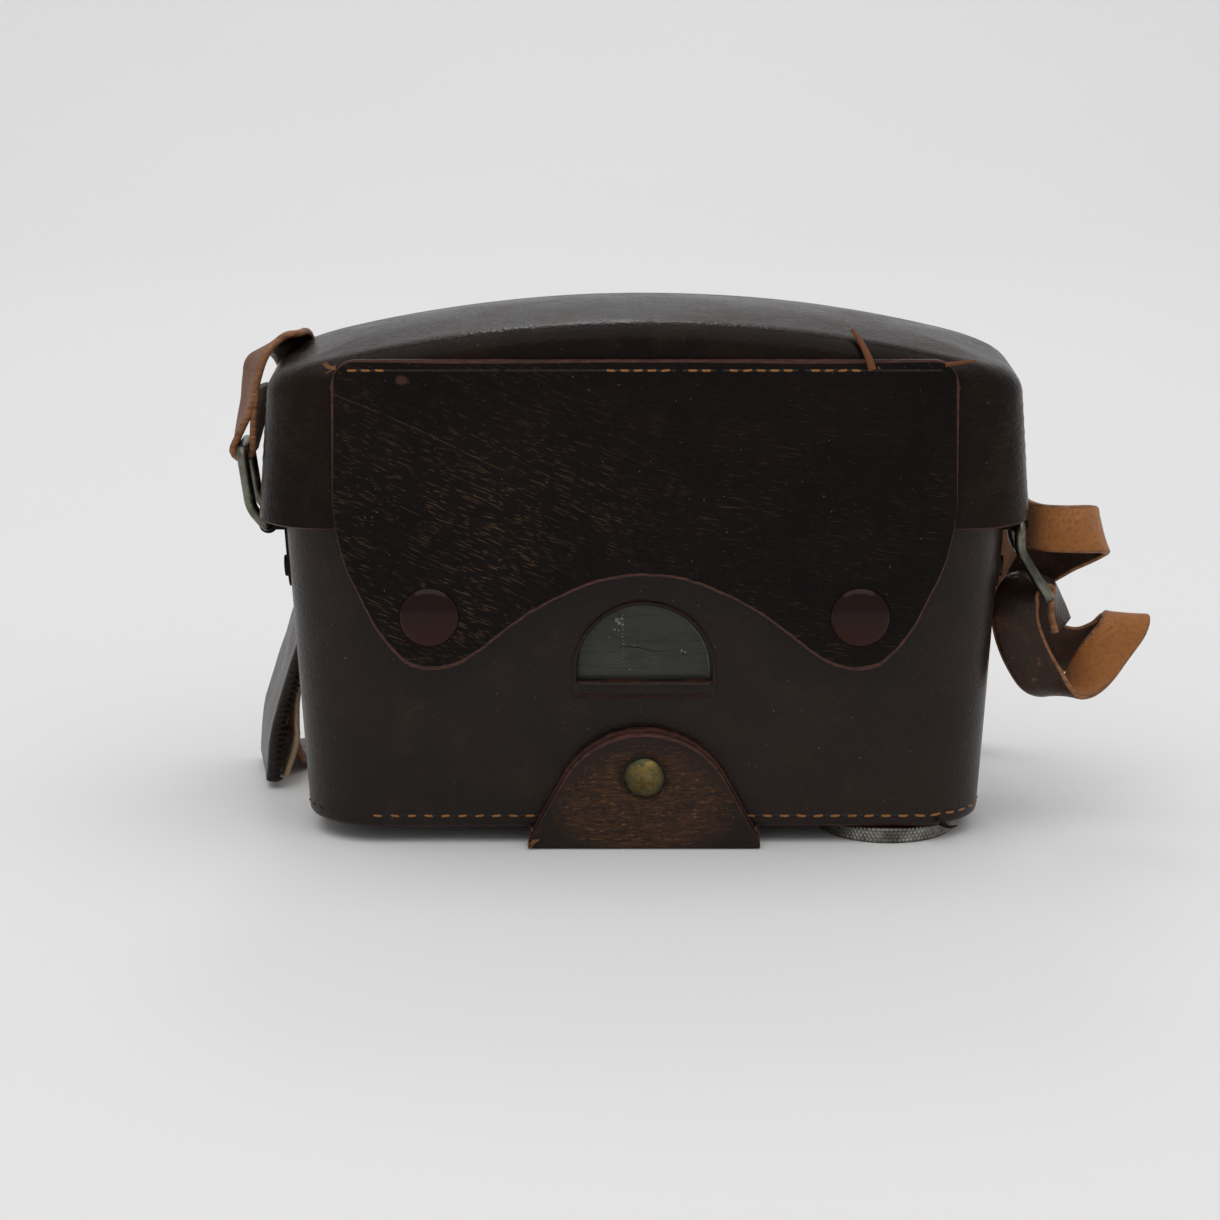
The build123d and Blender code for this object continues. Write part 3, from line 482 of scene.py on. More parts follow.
class Finish:
    def __init__(self, name):
        self.material = bpy.data.materials.new(name)
        self.material.use_nodes = True
        self.tree = self.material.node_tree
        self.tree.nodes.clear()
        self.place = self.node("ShaderNodeTexCoord", output="Object")
        self.bumps = None

    def node(self, kind, settings=None, inputs=None, output=0):
        made = self.tree.nodes.new(kind)
        for key, value in (settings or {}).items():
            setattr(made, key, value)
        for key, value in (inputs or {}).items():
            if isinstance(value, Socket):
                self.tree.links.new(value.link, made.inputs[key])
            else:
                made.inputs[key].default_value = value
        return Socket(self, made.outputs[output])

    def maths(self, operation, *values):
        return self.node("ShaderNodeMath", {"operation": operation}, dict(enumerate(values)))

    def axes(self):
        made = self.tree.nodes.new("ShaderNodeSeparateXYZ")
        self.tree.links.new(self.place.link, made.inputs[0])
        return [Socket(self, out) for out in made.outputs]

    def mapped(self, scale, turn=(0, 0, 0)):
        return self.node("ShaderNodeMapping", None, {
            "Vector": self.place, "Scale": scale, "Rotation": turn})

    def noise(self, scale, detail=4, rough=0.55, bend=0, vector=None):
        return self.node("ShaderNodeTexNoise", None, {
            "Vector": vector or self.place, "Scale": scale, "Detail": detail,
            "Roughness": rough, "Distortion": bend})

    def cells(self, scale, feature="F1", vector=None):
        return self.node("ShaderNodeTexVoronoi", {"feature": feature}, {
            "Vector": vector or self.place, "Scale": scale, "Randomness": 1}, "Distance")

    def mix(self, factor, first, second):
        made = self.tree.nodes.new("ShaderNodeMix")
        made.data_type = "RGBA"
        for index, value in ((0, factor), (6, first), (7, second)):
            if isinstance(value, Socket):
                self.tree.links.new(value.link, made.inputs[index])
            else:
                made.inputs[index].default_value = value
        return Socket(self, made.outputs[2])

    def bump(self, height, distance, strength=1.0):
        inputs = {"Height": height, "Distance": distance * mm, "Strength": strength}
        if self.bumps:
            inputs["Normal"] = self.bumps
        self.bumps = self.node("ShaderNodeBump", None, inputs)

    def close(self, **values):
        inputs = {key.replace("_", " "): value for key, value in values.items()}
        if self.bumps:
            inputs["Normal"] = self.bumps
        shader = self.node("ShaderNodeBsdfPrincipled", None, inputs)
        out = self.tree.nodes.new("ShaderNodeOutputMaterial")
        self.tree.links.new(shader.link, out.inputs["Surface"])
        return self.material


def leather(name, base, light, dark, worn, roughness=0.44, coat=0.18, grain=0.05, gloss=0.17,
            wornShare=0.62, specks=0.71):
    f = Finish(name)
    cloud = f.noise(26, 5, 0.6)
    patch = f.noise(90, 6, 0.62, 0.4)
    fine = f.noise(900, 5, 0.6)
    pores = f.cells(1150)
    scratch = f.noise(60, 8, 0.7, 0.0, f.mapped((1.2, 1.2, 14), (0, 0.9, 0.15)))
    scratchMask = abs(scratch - 0.5).ramp(0.006, 0.001) * patch.ramp(0.46, 0.62)
    colour = f.mix(cloud.ramp(0.35, 0.7), dark, base)
    colour = f.mix(patch.ramp(0.48, 0.75) * 0.7, colour, light)
    colour = f.mix(scratchMask * 0.5, colour, worn)
    rub = f.noise(300, 7, 0.75).ramp(wornShare, wornShare + 0.08) * cloud.ramp(0.45, 0.6)
    colour = f.mix(rub * 0.55, colour, worn)
    dust = f.noise(1500, 3, 0.6).ramp(specks, specks + 0.04)
    colour = f.mix(dust * 0.5, colour, tone(150, 135, 120))
    colour = f.mix(pores.ramp(0.42, 0.2) * 0.25, colour, dark)
    f.bump(pores, grain * 1.8, 0.75)
    f.bump(fine, grain * 1.6, 0.7)
    f.bump(patch, 0.3, 0.55)
    f.bump(1 - scratchMask, 0.05, 0.7)
    rough = roughness + (fine - 0.5) * 0.18 + (patch - 0.5) * 0.28 + rub * 0.15
    return f.close(Base_Color=colour, Roughness=rough, Coat_Weight=coat, Coat_Roughness=0.2,
                   Specular_IOR_Level=gloss)


def creasedLeather():
    f = Finish("flapLeather")
    x, y, z = f.axes()
    cloud = f.noise(24, 5, 0.6)
    patch = f.noise(110, 6, 0.6, 0.5)
    fine = f.noise(1000, 5, 0.62)

    def creases(slope, stretch, scale, width):
        # long thin cells, bent a little: the strokes lie at their middles
        lean = f.node("ShaderNodeMapping", {"vector_type": "TEXTURE"}, {
            "Vector": f.place, "Scale": (stretch, 1, 1), "Rotation": (0, slope, 0)})
        bend = f.node("ShaderNodeTexNoise", None, {"Vector": f.place, "Scale": 160.0, "Detail": 2.0}, "Color")
        shift = f.node("ShaderNodeVectorMath", {"operation": "SCALE"}, {0: bend, "Scale": 0.001})
        place = f.node("ShaderNodeVectorMath", {"operation": "ADD"}, {0: lean, 1: shift})
        return f.cells(scale, "F1", place).ramp(width, width * 0.3)
    leftSide = x.ramp(0.02, -0.02)
    slanted = creases(0.42, 13, 1900, 0.32).maths("MAXIMUM", creases(0.34, 11, 2500, 0.34))
    slanted = slanted.maths("MAXIMUM", creases(0.48, 9, 1400, 0.2))
    level = creases(0.12, 13, 1900, 0.3).maths("MAXIMUM", creases(0.2, 10, 2400, 0.3))
    broken = f.noise(330, 5, 0.7)
    lower = z.ramp(0.098, 0.058)
    where = cloud.ramp(0.3, 0.55) * (0.25 + lower * 0.75) * (0.45 + leftSide * 0.55)
    lines = slanted * leftSide + level * (1 - leftSide)
    lines = lines * broken.ramp(0.34, 0.56) * where
    colour = f.mix(cloud.ramp(0.35, 0.7), tone(10, 5, 4), tone(18, 10, 7))
    colour = f.mix(patch.ramp(0.5, 0.8) * 0.5, colour, tone(28, 16, 12))
    colour = f.mix(lines * 0.55, colour, tone(112, 82, 56))
    aside = ((x + 0.048) / 0.0016) ** 2 + ((z - 0.0966) / 0.0013) ** 2
    scuff = (aside + (broken - 0.5) * 4).ramp(1.0, 0.3)
    colour = f.mix(scuff * 0.6, colour, tone(80, 56, 44))
    long = abs(z - 0.092 + (x + 0.057) * 0.45 + (cloud - 0.5) * 0.002).ramp(0.00016, 0.00004)
    long = long * x.ramp(-0.022, -0.03) * broken.ramp(0.36, 0.5)
    colour = f.mix(long * 0.3, colour, tone(100, 80, 64))
    dust = f.noise(1500, 3, 0.6).ramp(0.71, 0.75)
    colour = f.mix(dust * 0.6, colour, tone(150, 130, 110))
    f.bump(f.cells(1250), 0.07, 0.6)
    f.bump(fine, 0.06, 0.6)
    f.bump(patch, 0.3, 0.6)
    f.bump(1 - lines, 0.12, 0.8)
    rough = 0.42 + (fine - 0.5) * 0.2 + (patch - 0.5) * 0.25 + lines * 0.1
    return f.close(Base_Color=colour, Roughness=rough, Coat_Weight=0.01, Coat_Roughness=0.25,
                   Specular_IOR_Level=0.1)


def rawEdge(name, colour, darker, pale):
    f = Finish(name)
    fibre = f.noise(700, 6, 0.7, 0.2, f.mapped((0.5, 0.5, 2.4)))
    cloud = f.noise(80, 4, 0.6)
    shade = f.mix(fibre.ramp(0.35, 0.68), darker, colour)
    shade = f.mix(fibre.ramp(0.6, 0.75) * cloud.ramp(0.4, 0.7), shade, pale)
    f.bump(fibre, 0.09, 0.8)
    return f.close(Base_Color=shade, Roughness=0.55 + (fibre - 0.5) * 0.3, Specular_IOR_Level=0.35)


def suede(name, colour, darker, pale, fuzz=0.12):
    f = Finish(name)
    nap = f.noise(1100, 9, 0.82, 0.2)
    cloud = f.noise(85, 5, 0.6)
    rubbed = f.noise(240, 7, 0.75)
    shade = f.mix(nap.ramp(0.22, 0.58), darker, colour)
    shade = f.mix(cloud.ramp(0.42, 0.7) * nap.ramp(0.4, 0.6) * 0.7, shade, pale)
    shade = f.mix(rubbed.ramp(0.55, 0.7) * 0.18, shade, darker)
    f.bump(nap, fuzz, 0.85)
    f.bump(rubbed, 0.15, 0.4)
    return f.close(Base_Color=shade, Roughness=0.88 + (nap - 0.5) * 0.15, Specular_IOR_Level=0.15,
                   Sheen_Weight=0.2, Sheen_Roughness=0.5)


def metal(name, colour, darker, spot, roughness, spotShare=0.6, scratch=0.5):
    f = Finish(name)
    cloud = f.noise(180, 6, 0.65)
    fine = f.noise(1400, 5, 0.7)
    lines = f.noise(240, 6, 0.7, 0.0, f.mapped((1, 1, 9), (0.3, 0.4, 0)))
    shade = f.mix(cloud.ramp(0.35, 0.65), darker, colour)
    spots = f.noise(520, 6, 0.7).ramp(spotShare, spotShare + 0.07)
    shade = f.mix(spots * 0.7, shade, spot)
    f.bump(fine, 0.02, 0.5)
    f.bump(lines, 0.03, scratch)
    rough = roughness + (cloud - 0.5) * 0.25 + spots * 0.25 + (lines - 0.5) * 0.15
    return f.close(Base_Color=shade, Roughness=rough, Metallic=1 - spots * 0.6)


def enamel():
    f = Finish("capEnamel")
    cloud = f.noise(120, 5, 0.6)
    pits = f.noise(900, 4, 0.6).ramp(0.68, 0.72)
    x, y, z = f.axes()
    shade = f.mix(cloud.ramp(0.35, 0.7), tone(24, 7, 4), tone(34, 11, 6))
    # each cap is painted lighter and redder towards its lower half: a painted reflection of the bright floor
    shade = f.mix(z.ramp(0.0515, 0.0445) * 0.6, shade, tone(52, 19, 11))
    shade = f.mix(pits * 0.8, shade, tone(20, 10, 8))
    f.bump(cloud, 0.12, 0.5)
    f.bump(1 - pits, 0.04, 0.6)
    return f.close(Base_Color=shade, Roughness=0.14 + (cloud - 0.5) * 0.1 + pits * 0.3,
                   Coat_Weight=0.05, Coat_Roughness=0.05, Specular_IOR_Level=0.16)


def threadFinish(name, colour, darker):
    f = Finish(name)
    twist = f.node("ShaderNodeTexWave", {"wave_type": "BANDS", "bands_direction": "DIAGONAL"}, {
        "Vector": f.place, "Scale": 1100.0, "Distortion": 1.5, "Detail": 2.0})
    cloud = f.noise(300, 4, 0.6)
    shade = f.mix(twist.ramp(0.2, 0.8) * 0.6 + cloud.ramp(0.5, 0.7) * 0.3, colour, darker)
    f.bump(twist, 0.06, 0.7)
    return f.close(Base_Color=shade, Roughness=0.75 + (cloud - 0.5) * 0.2, Specular_IOR_Level=0.25)


def paneFinish():
    f = Finish("windowPlastic")
    cloud = f.noise(60, 5, 0.6)
    rising = f.noise(55, 7, 0.6, 0.1, f.mapped((0.7, 1, 9), (0, 0.28, 0)))
    scratch = abs(rising - 0.5).ramp(0.012, 0.002)
    flecks = f.noise(520, 4, 0.7).ramp(0.69, 0.73)
    shade = f.mix(cloud.ramp(0.35, 0.65), tone(33, 34, 29), tone(50, 51, 44))
    shade = f.mix(scratch * 0.5, shade, tone(30, 32, 29))
    shade = f.mix(flecks, shade, tone(170, 170, 158))
    f.bump(scratch, 0.03, 0.6)
    f.bump(cloud, 0.15, 0.35)
    return f.close(Base_Color=shade, Roughness=0.3 + scratch * 0.2 + (cloud - 0.5) * 0.25 + flecks * 0.4,
                   Coat_Weight=0.1, Coat_Roughness=0.15, Specular_IOR_Level=0.35)


def tabFinish():
    # the tab is rubbed down to its orange-brown fibres nearly to the edge
    f = Finish("tabLeather")
    x, y, z = f.axes()
    fibre = f.noise(1300, 9, 0.8, 0.3, f.mapped((0.42, 1, 1.5)))
    strand = f.noise(520, 8, 0.78, 0.8, f.mapped((0.32, 1, 1.8), (0, 0.12, 0)))
    patch = f.noise(120, 6, 0.65, 0.6, f.mapped((0.7, 1, 1.6)))
    fine = f.noise(1500, 5, 0.7)
    aside = (x / 0.0165) ** 2
    up = ((z - 0.0095) / 0.0115) ** 2
    middle = (aside + up + (patch - 0.5) * 1.6).ramp(1.45, 0.5)
    shade = f.mix(patch.ramp(0.35, 0.7), tone(24, 15, 10), tone(42, 27, 18))
    wear = (middle * (fibre.ramp(0.42, 0.6) * 0.65 + strand.ramp(0.46, 0.62) * 0.5)).maths("MINIMUM", 1)
    shade = f.mix(wear * 0.75, shade, tone(86, 55, 32))
    shade = f.mix(middle * fibre.ramp(0.56, 0.66) * 0.8, shade, tone(140, 98, 60))
    shade = f.mix(fine.ramp(0.69, 0.74) * 0.5, shade, tone(160, 140, 115))
    f.bump(fibre, 0.16, 0.75)
    f.bump(strand, 0.16, 0.6)
    f.bump(patch, 0.3, 0.5)
    f.bump(fine, 0.05, 0.5)
    rough = 0.5 + wear * 0.2 + (fine - 0.5) * 0.15 + (patch - 0.5) * 0.2
    return f.close(Base_Color=shade, Roughness=rough, Coat_Weight=0.03, Coat_Roughness=0.3,
                   Specular_IOR_Level=0.2)


shellLeather = leather("shellLeather", tone(37, 26, 20), tone(48, 34, 27), tone(27, 19, 15),
                       tone(84, 60, 46), 0.36, 0.08, 0.05, 0.16, 0.66)
# the lid takes a darker copy of the body's leather: painted shade that keeps the lid's top, which faces the lamps, as
# dark as the body
lidShadedLeather = leather("lidShadedLeather", tone(30, 20, 15), tone(40, 27, 21), tone(20, 12, 9),
                     tone(96, 66, 48), 0.28, 0.04, 0.05, 0.07, 0.66)
coverLeather = leather("coverLeather", tone(42, 27, 22), tone(62, 42, 34), tone(26, 16, 14),
                       tone(112, 76, 56), 0.38, 0.06)
strapGrain = leather("strapGrain", tone(62, 42, 31), tone(92, 64, 46), tone(36, 25, 19),
                     tone(146, 100, 66), 0.42, 0.1, 0.07, 0.17, 0.58)
wornSuede = suede("wornSuede", tone(108, 62, 31), tone(66, 37, 19), tone(130, 82, 44), 0.16)
padEdge = rawEdge("padEdge", tone(40, 32, 28), tone(20, 16, 14), tone(70, 56, 46))
padGrain = leather("padGrain", tone(44, 34, 30), tone(78, 62, 54), tone(24, 20, 20),
                   tone(140, 104, 76), 0.42, 0.2, 0.06)
flapLeather = creasedLeather()
tabLeather = tabFinish()
redEdge = rawEdge("redEdge", tone(84, 44, 33), tone(42, 21, 16), tone(116, 74, 54))
strapEdge = rawEdge("strapEdge", tone(158, 108, 68), tone(104, 66, 40), tone(206, 160, 112))
strapSuede = suede("strapSuede", tone(158, 101, 55), tone(112, 67, 35), tone(178, 124, 73), 0.16)
liningSuede = suede("liningSuede", tone(104, 70, 48), tone(62, 42, 32), tone(128, 92, 66))
padSuede = suede("padSuede", tone(176, 152, 118), tone(138, 108, 80), tone(206, 182, 150))
goldThread = threadFinish("goldThread", tone(164, 114, 64), tone(92, 58, 32))
darkThread = threadFinish("darkThread", tone(50, 33, 24), tone(20, 13, 10))
tabThread = threadFinish("tabThread", tone(70, 46, 32), tone(36, 22, 16))
# near-black painted shade: marks for the shade inside the stitch holes and the stud's recess; the pane's crack is
# drawn with it as a dark line
holeShade = rawEdge("holeShade", tone(10, 7, 6), tone(5, 4, 4), tone(16, 11, 9))
capEnamel = enamel()
frayBrown = threadFinish("frayBrown", tone(122, 72, 42), tone(60, 34, 22))
# pale for the window's flecks, and for the painted highlight arc at the pane's edge
paleFleckAndHighlight = rawEdge("paleFleckAndHighlight", tone(138, 137, 126), tone(104, 103, 94), tone(168, 166, 154))
blackSteel = metal("blackSteel", tone(46, 37, 33), tone(28, 23, 21), tone(70, 48, 36), 0.5, 0.6)
brass = metal("agedBrass", tone(128, 112, 66), tone(72, 60, 36), tone(54, 62, 48), 0.38, 0.52)
steel = metal("dullSteel", tone(150, 148, 142), tone(96, 92, 86), tone(62, 50, 40), 0.36, 0.62)
ringSteel = metal("ringSteel", tone(122, 121, 107), tone(76, 75, 66), tone(64, 56, 44), 0.34, 0.56)
wheelSteel = metal("wheelSteel", tone(156, 153, 146), tone(100, 96, 91), tone(66, 57, 50), 0.4, 0.63)
windowPlastic = paneFinish()
print("materials made")


# lower half of the case

caseSizes = {"halfX": 69.2, "spread": 4.0, "halfY": 23.6, "radius": 15.0, "low": 3.6, "rim": 66.2,
             "top": 70.0, "wall": 2.2, "foot": 1.1}


def caseHalf(z):
    s = caseSizes
    return s["halfX"] + s["spread"] * (z - s["low"]) / (s["rim"] - s["low"])


def casePlan(inset, z, alongX=92, alongY=12, corner=16):
    s = caseSizes
    return plan(caseHalf(z) - inset, s["halfY"] - inset, s["radius"] - inset, alongX, alongY, corner)


def caseRow(inset, z):
    return [drift((x, y, z), 40, 0.14, 0) for x, y in casePlan(inset, z)]


def buildCase():
    s = caseSizes
    foot = s["low"] + s["foot"]
    levels = [foot + (s["top"] - 0.5 - s["low"] - s["foot"]) * i / 50 for i in range(51)]
    rows = []
    for k in range(5):
        a = math.radians(90 - 22.5 * k)
        rows.append(caseRow(s["foot"] * (1 - math.cos(a)), s["low"] + s["foot"] * (1 - math.sin(a))))
    rows += [caseRow(0, z) for z in levels[1:]]
    rows += [caseRow(0.15, s["top"] - 0.15), caseRow(0.5, s["top"]), caseRow(s["wall"] - 0.5, s["top"]),
             caseRow(s["wall"] - 0.15, s["top"] - 0.15)]
    rows += [caseRow(s["wall"], z) for z in reversed(levels[1:])]
    rows.append(caseRow(s["wall"], s["low"]))
    topRow = 4 + len(levels) - 1

    def pick(i, j):
        if i >= topRow + 3:
            return 1
        if i >= topRow or i < 2 or i == len(rows) - 1:
            return 2
        return 0
    shell = skin("caseShell", rows, [shellLeather, liningSuede, redEdge], pick, True, "joined")
    window = prism("windowCutter", archOutline(windowSizes, 0), -30, -15, redEdge)
    lens = prism("lensCutter", lensOutline(8, 6, 12), 15, 30, redEdge)
    cut(shell, [window, lens])
    return finished(shell, "case", ["body_shell"], "moulded_leather")


lensSizes = {"halfX": 30, "halfZ": 19, "corner": 8, "middle": 33}


def lensOutline(*counts):
    s = lensSizes
    return [(x, z + s["middle"]) for x, z in plan(s["halfX"], s["halfZ"], s["corner"], *counts)]


windowSizes = {"half": 13.7, "low": 34.3, "spring": 2.2, "bezel": 0.95, "sill": 2.3}


def archOutline(s, grow, sill=0, count=72):
    half = s["half"] + grow
    low = s["low"] - grow - sill
    spring = s["low"] + s["spring"]
    points = [(-half + 2 * half * i / 24, low) for i in range(24)]
    points += [(half, low + (spring - low) * i / 6) for i in range(6)]
    points += [(half * math.cos(math.pi * i / count), spring + half * math.sin(math.pi * i / count))
               for i in range(count)]
    points += [(-half, spring + (low - spring) * i / 6) for i in range(6)]
    return points


buildCase()
print("case shell made")

baseSizes = {"low": 3.6, "thick": 2.4, "lip": 9.0, "lipThick": 1.5, "inset": 2.25, "hole": 8.1,
             "wheelX": 50.4, "wheelY": -9.5}


def buildBase():
    s = baseSizes

    def row(inset, z):
        return [drift((x, y, z), 30, 0.08, 3) for x, y in casePlan(inset, z, 60, 8, 10)]
    floor, lip = s["low"] + s["thick"], s["inset"] + s["lipThick"]
    steps = [(inset, s["low"]) for inset in (23.5, 18, 12, 7, 3.2)]
    steps += [(s["inset"], s["low"] + 0.4), (s["inset"], s["lip"] - 0.3)]
    steps += [(s["inset"] + s["lipThick"] / 2, s["lip"]), (lip, s["lip"] - 0.4), (lip + 0.3, floor + 0.3)]
    steps += [(inset, floor) for inset in (5, 7, 12, 18, 23.5)]
    rows = [row(inset, z) for inset, z in steps]
    plate = skin("basePlate", rows, [shellLeather, liningSuede], lambda i, j: 0 if i < 6 else 1,
                 True, "capped")
    hole = lathe("wheelCutter", [(0, 0), (s["hole"], 0), (s["hole"], 8), (0, 8)],
                 (s["wheelX"], s["wheelY"], 0.5), "z", [shellLeather], 48)
    cut(plate, [hole])
    return finished(plate, "case", ["base_panel"], "moulded_leather")


buildBase()

hingeSizes = {"half": 58.0, "thick": 1.0}
hingeLine = [(23.65, 58.4), (23.65, 61), (23.7, 64.2), (24.4, 65.0), (26.0, 65.2), (27.0, 65.6),
             (27.25, 67.5), (26.9, 71), (26.6, 76.2)]


def buildHinge():
    s = hingeSizes
    line = evenly(smoothLine([(0, y, z) for y, z in hingeLine], 8), 30)
    rows = []
    for p in line:
        row = []
        for j in range(61):
            x = -s["half"] + 2 * s["half"] * j / 60
            row.append((x, p.y + s["thick"] - 0.1 + 0.15 * noise.noise(Vector((x / 9, p.z / 9, 0))), p.z))
        rows.append(row)
    leatherStrip = skin("hingeLeather", rows, [flapLeather, liningSuede, redEdge], None, False)
    faceTowards(leatherStrip, 10, 1)
    sheetSolid(leatherStrip, s["thick"], 0.25, 2)
    return bent(leatherStrip, ("case", "lid"), (0, 0.0254, 0.0638), (0, 0.0254, 0.0668),
                ["lid_hinge_leather"], "flap_leather")


buildHinge()


# window

def buildWindow():
    s = windowSizes
    inner = archOutline(s, 0)
    outer = archOutline(s, s["bezel"], s["sill"])
    profile = ((0.0, -21.6), (0.0, -23.5), (0.03, -24.1), (0.25, -24.32), (0.6, -24.36), (0.85, -24.2),
               (0.97, -23.8), (1.0, -23.45))
    rows = []
    for share, y in profile:
        rows.append([drift((a[0] + (b[0] - a[0]) * share, y, a[1] + (b[1] - a[1]) * share), 9, 0.12, 5)
                     for a, b in zip(inner, outer)])
    rim = skin("windowRim", rows, [shellLeather, redEdge], lambda i, j: 1 if i in (1, 5) else 0,
               True, "open", 70)
    finished(rim, "case", ["window_bezel"], "moulded_leather")
    grown = archOutline(s, 1.5)
    back, face = -20.62, -21.4
    middle = sum(z for x, z in grown) / len(grown)
    rows = [[(x, y, z) for x, z in grown] for y in (back, -21.25)]

    def belly(x, z, share):
        y = face - 0.12 * (1 - share) + 0.1 * noise.noise(Vector((x * share / 7, z / 7, 1)))
        return (x * share, y, middle + (z - middle) * share)
    for share in (0.94, 0.7, 0.4, 0.1):
        rows.append([belly(x, z, share) for x, z in grown])
    rows.append([(0, -21.55, middle)] * len(grown))
    rows.insert(0, [(0, back, middle)] * len(grown))
    pane = skin("windowPane", rows, [windowPlastic], None, True, "open", 60)
    finished(pane, "case", ["window_pane"], "window_pane")
    frameRows = [[(x, y, z) for x, z in archOutline(s, grow)] for grow, y in
                 ((1.55, -21.35), (3.8, -21.35), (3.8, -19.9), (3.4, -19.6), (-0.5, -19.6), (-0.9, -19.9),
                  (-0.9, -20.55), (1.55, -20.55))]
    backing = skin("windowFrame", frameRows, [liningSuede], None, True, "joined", 50)
    finished(backing, "case", ["window_backing"], "moulded_leather")
    crackLine = [(-4.9, 41.0), (-1.5, 40.9), (2.2, 40.1), (4.4, 40.2)]
    crack = evenly(smoothLine([(x, -21.62, z) for x, z in crackLine]), 24)
    line = tube("windowCrack", crack, 0.07, holeShade, 6, False, lambda f: 1.1 - f * 0.7)
    finished(line, "case")
    # a pale arc just inside the right of the arch: a painted highlight on the pane's edge
    radius, spring = 13.15, s["low"] + s["spring"]
    turns = [math.radians(a) for a in range(-8, 56, 4)]
    shine = [(radius * math.cos(a), -21.6, spring + radius * math.sin(a)) for a in turns]
    arc = tube("windowArcHighlight", evenly(shine, 30), 0.11, paleFleckAndHighlight, 6, False,
               lambda f: 0.6 + 0.4 * math.sin(math.pi * f))
    finished(arc, "case")
    flecks = random.Random(11)
    spots = [(-5.6, 46.6, 0.5), (-5.1, 46.0, 0.42), (-4.6, 46.9, 0.36), (-4.4, 45.6, 0.3), (-6.0, 44.6, 0.22),
             (-5.2, 44.4, 0.18), (7.6, 40.2, 0.3), (8.3, 39.9, 0.22), (-11.4, 44.6, 0.3)]
    spots += [(-4.3 + flecks.uniform(-0.15, 0.15), 47.6 - 0.75 * i, flecks.uniform(0.08, 0.17))
              for i in range(14)]
    for number, (x, z, r) in enumerate(spots):
        fleck = lathe("windowFleck%d" % number, [(0, 0.1), (r, 0.08), (r * 0.8, -0.03), (0, -0.05)],
                      (x, -21.6, z), "y", [paleFleckAndHighlight], 9, 60, 0.8)
        finished(fleck, "case")


buildWindow()
print("window made")


# lid

lidSizes = {"rimX": 78.2, "topX": 75.2, "rimY": 26.5, "topY": 24.0, "low": 66.2, "crown": 108.5, "arc": 267.0,
            "brow": 7.5, "corner": 14.0, "wall": 2.2, "tight": 0.72, "droop": 0.9}


def crownAt(x, inset=0):
    s = lidSizes
    r = s["arc"] - inset
    return s["crown"] - s["arc"] + math.sqrt(r * r - x * x)


def buildLid():
    s = lidSizes
    outlineCache = {}

    def surface(inset):
        brow, corner = s["brow"] - inset, s["corner"] - inset
        rows = []

        def halves(z):
            f = (z - s["low"]) / (s["crown"] - s["low"])
            return [s["rim" + way] + (s["top" + way] - s["rim" + way]) * f - inset for way in "XY"]

        def outlineAt(hx, hy, r):
            key = (round(hx, 3), round(hy, 3), round(r, 3))
            if key not in outlineCache:
                outlineCache[key] = plan(hx, hy, r, 100, 12, 18)
            return outlineCache[key]
        start = outlineAt(*halves(s["low"]), corner)
        ends = [crownAt(x * 0.965, inset) - brow for x, y in start]
        for i in range(27):
            f = i / 26
            row = []
            for k in range(len(start)):
                z = s["low"] + f * (ends[k] - s["low"])
                x, y = outlineAt(*[round(h, 1) for h in halves(z)], corner)[k]
                hx, hy = halves(z)
                rx, ry = round(hx, 1), round(hy, 1)
                x += math.copysign(hx - rx, x) if abs(x) > hx - corner else 0
                y += math.copysign(hy - ry, y) if abs(y) > hy - corner else 0
                row.append((x, y, z))
            rows.append(row)
        for i in range(1, 9):
            a = math.radians(90 * i / 8)
            inward = brow * (1 - math.cos(a) ** s["tight"]) if i < 8 else brow
            row = []
            for k in range(len(start)):
                hx, hy = [round(h, 1) for h in halves(ends[k])]
                x, y = outlineAt(hx - inward, hy - inward, corner - inward)[k]
                blendUp = math.sin(a) ** s["tight"]
                z = ends[k] * (1 - blendUp) + (crownAt(x, inset) - s["droop"]) * blendUp
                row.append((x, y, z))
            rows.append(row)
        hx, hy = halves(s["crown"] - brow)
        for i in range(1, 11):
            inward = brow + (hy - brow) * i / 10
            row = []
            for k in range(len(start)):
                kx, ky = [round(h, 1) for h in halves(ends[k])]
                left = max(0, (ky - brow) * (1 - i / 10))
                further = ky - left
                x, y = outlineAt(kx - further, left, max(0, corner - further))[k]
                row.append((x, y, crownAt(x, inset) - s["droop"] * (1 - i / 10) ** 2))
            rows.append(row)
        return rows
    outside = [[drift(p, 38, 0.16, 9) for p in row] for row in surface(0)]
    inside = [[drift(p, 38, 0.16, 9) for p in row] for row in surface(s["wall"])]
    # the rim's lower edge is softly rounded
    outside[0] = [(x, y, z + 0.35) for x, y, z in outside[0]]
    inside[0] = [(x, y, z + 0.3) for x, y, z in inside[0]]

    def under(share):
        return [(a[0] * (1 - share) + b[0] * share, a[1] * (1 - share) + b[1] * share, b[2] - 0.3)
                for a, b in zip(outside[0], inside[0])]
    rows = list(reversed(outside)) + [under(0.2), under(0.75)] + inside
    edge = len(outside)

    def pick(i, j):
        if i > edge + 1:
            return 1
        return 2 if i >= edge - 1 else 0
    shell = skin("lidShell", rows, [lidShadedLeather, liningSuede, redEdge], pick, True, "open")
    return finished(shell, "lid", ["lid_shell"], "moulded_leather")


buildLid()
print("lid made")


# flap and its band are one soft piece of leather

flapSizes = {"half": 62.2, "top": 100.5, "corner": 5.0, "thick": 1.8, "gap": 0.32, "seam": 98.4,
             "seamHalf": 58}
flapEdge = [(0, 57.3), (5, 56.9), (9.7, 55.9), (17.6, 52.6), (25.4, 47.9), (30.8, 43.6), (35, 40.4),
            (38.7, 38.6), (42.4, 38.0), (46.6, 38.6), (49.8, 40.9), (53.9, 46.3), (56.8, 52.2),
            (59.9, 59.2), (61.6, 66.5), (62.2, 72.0)]


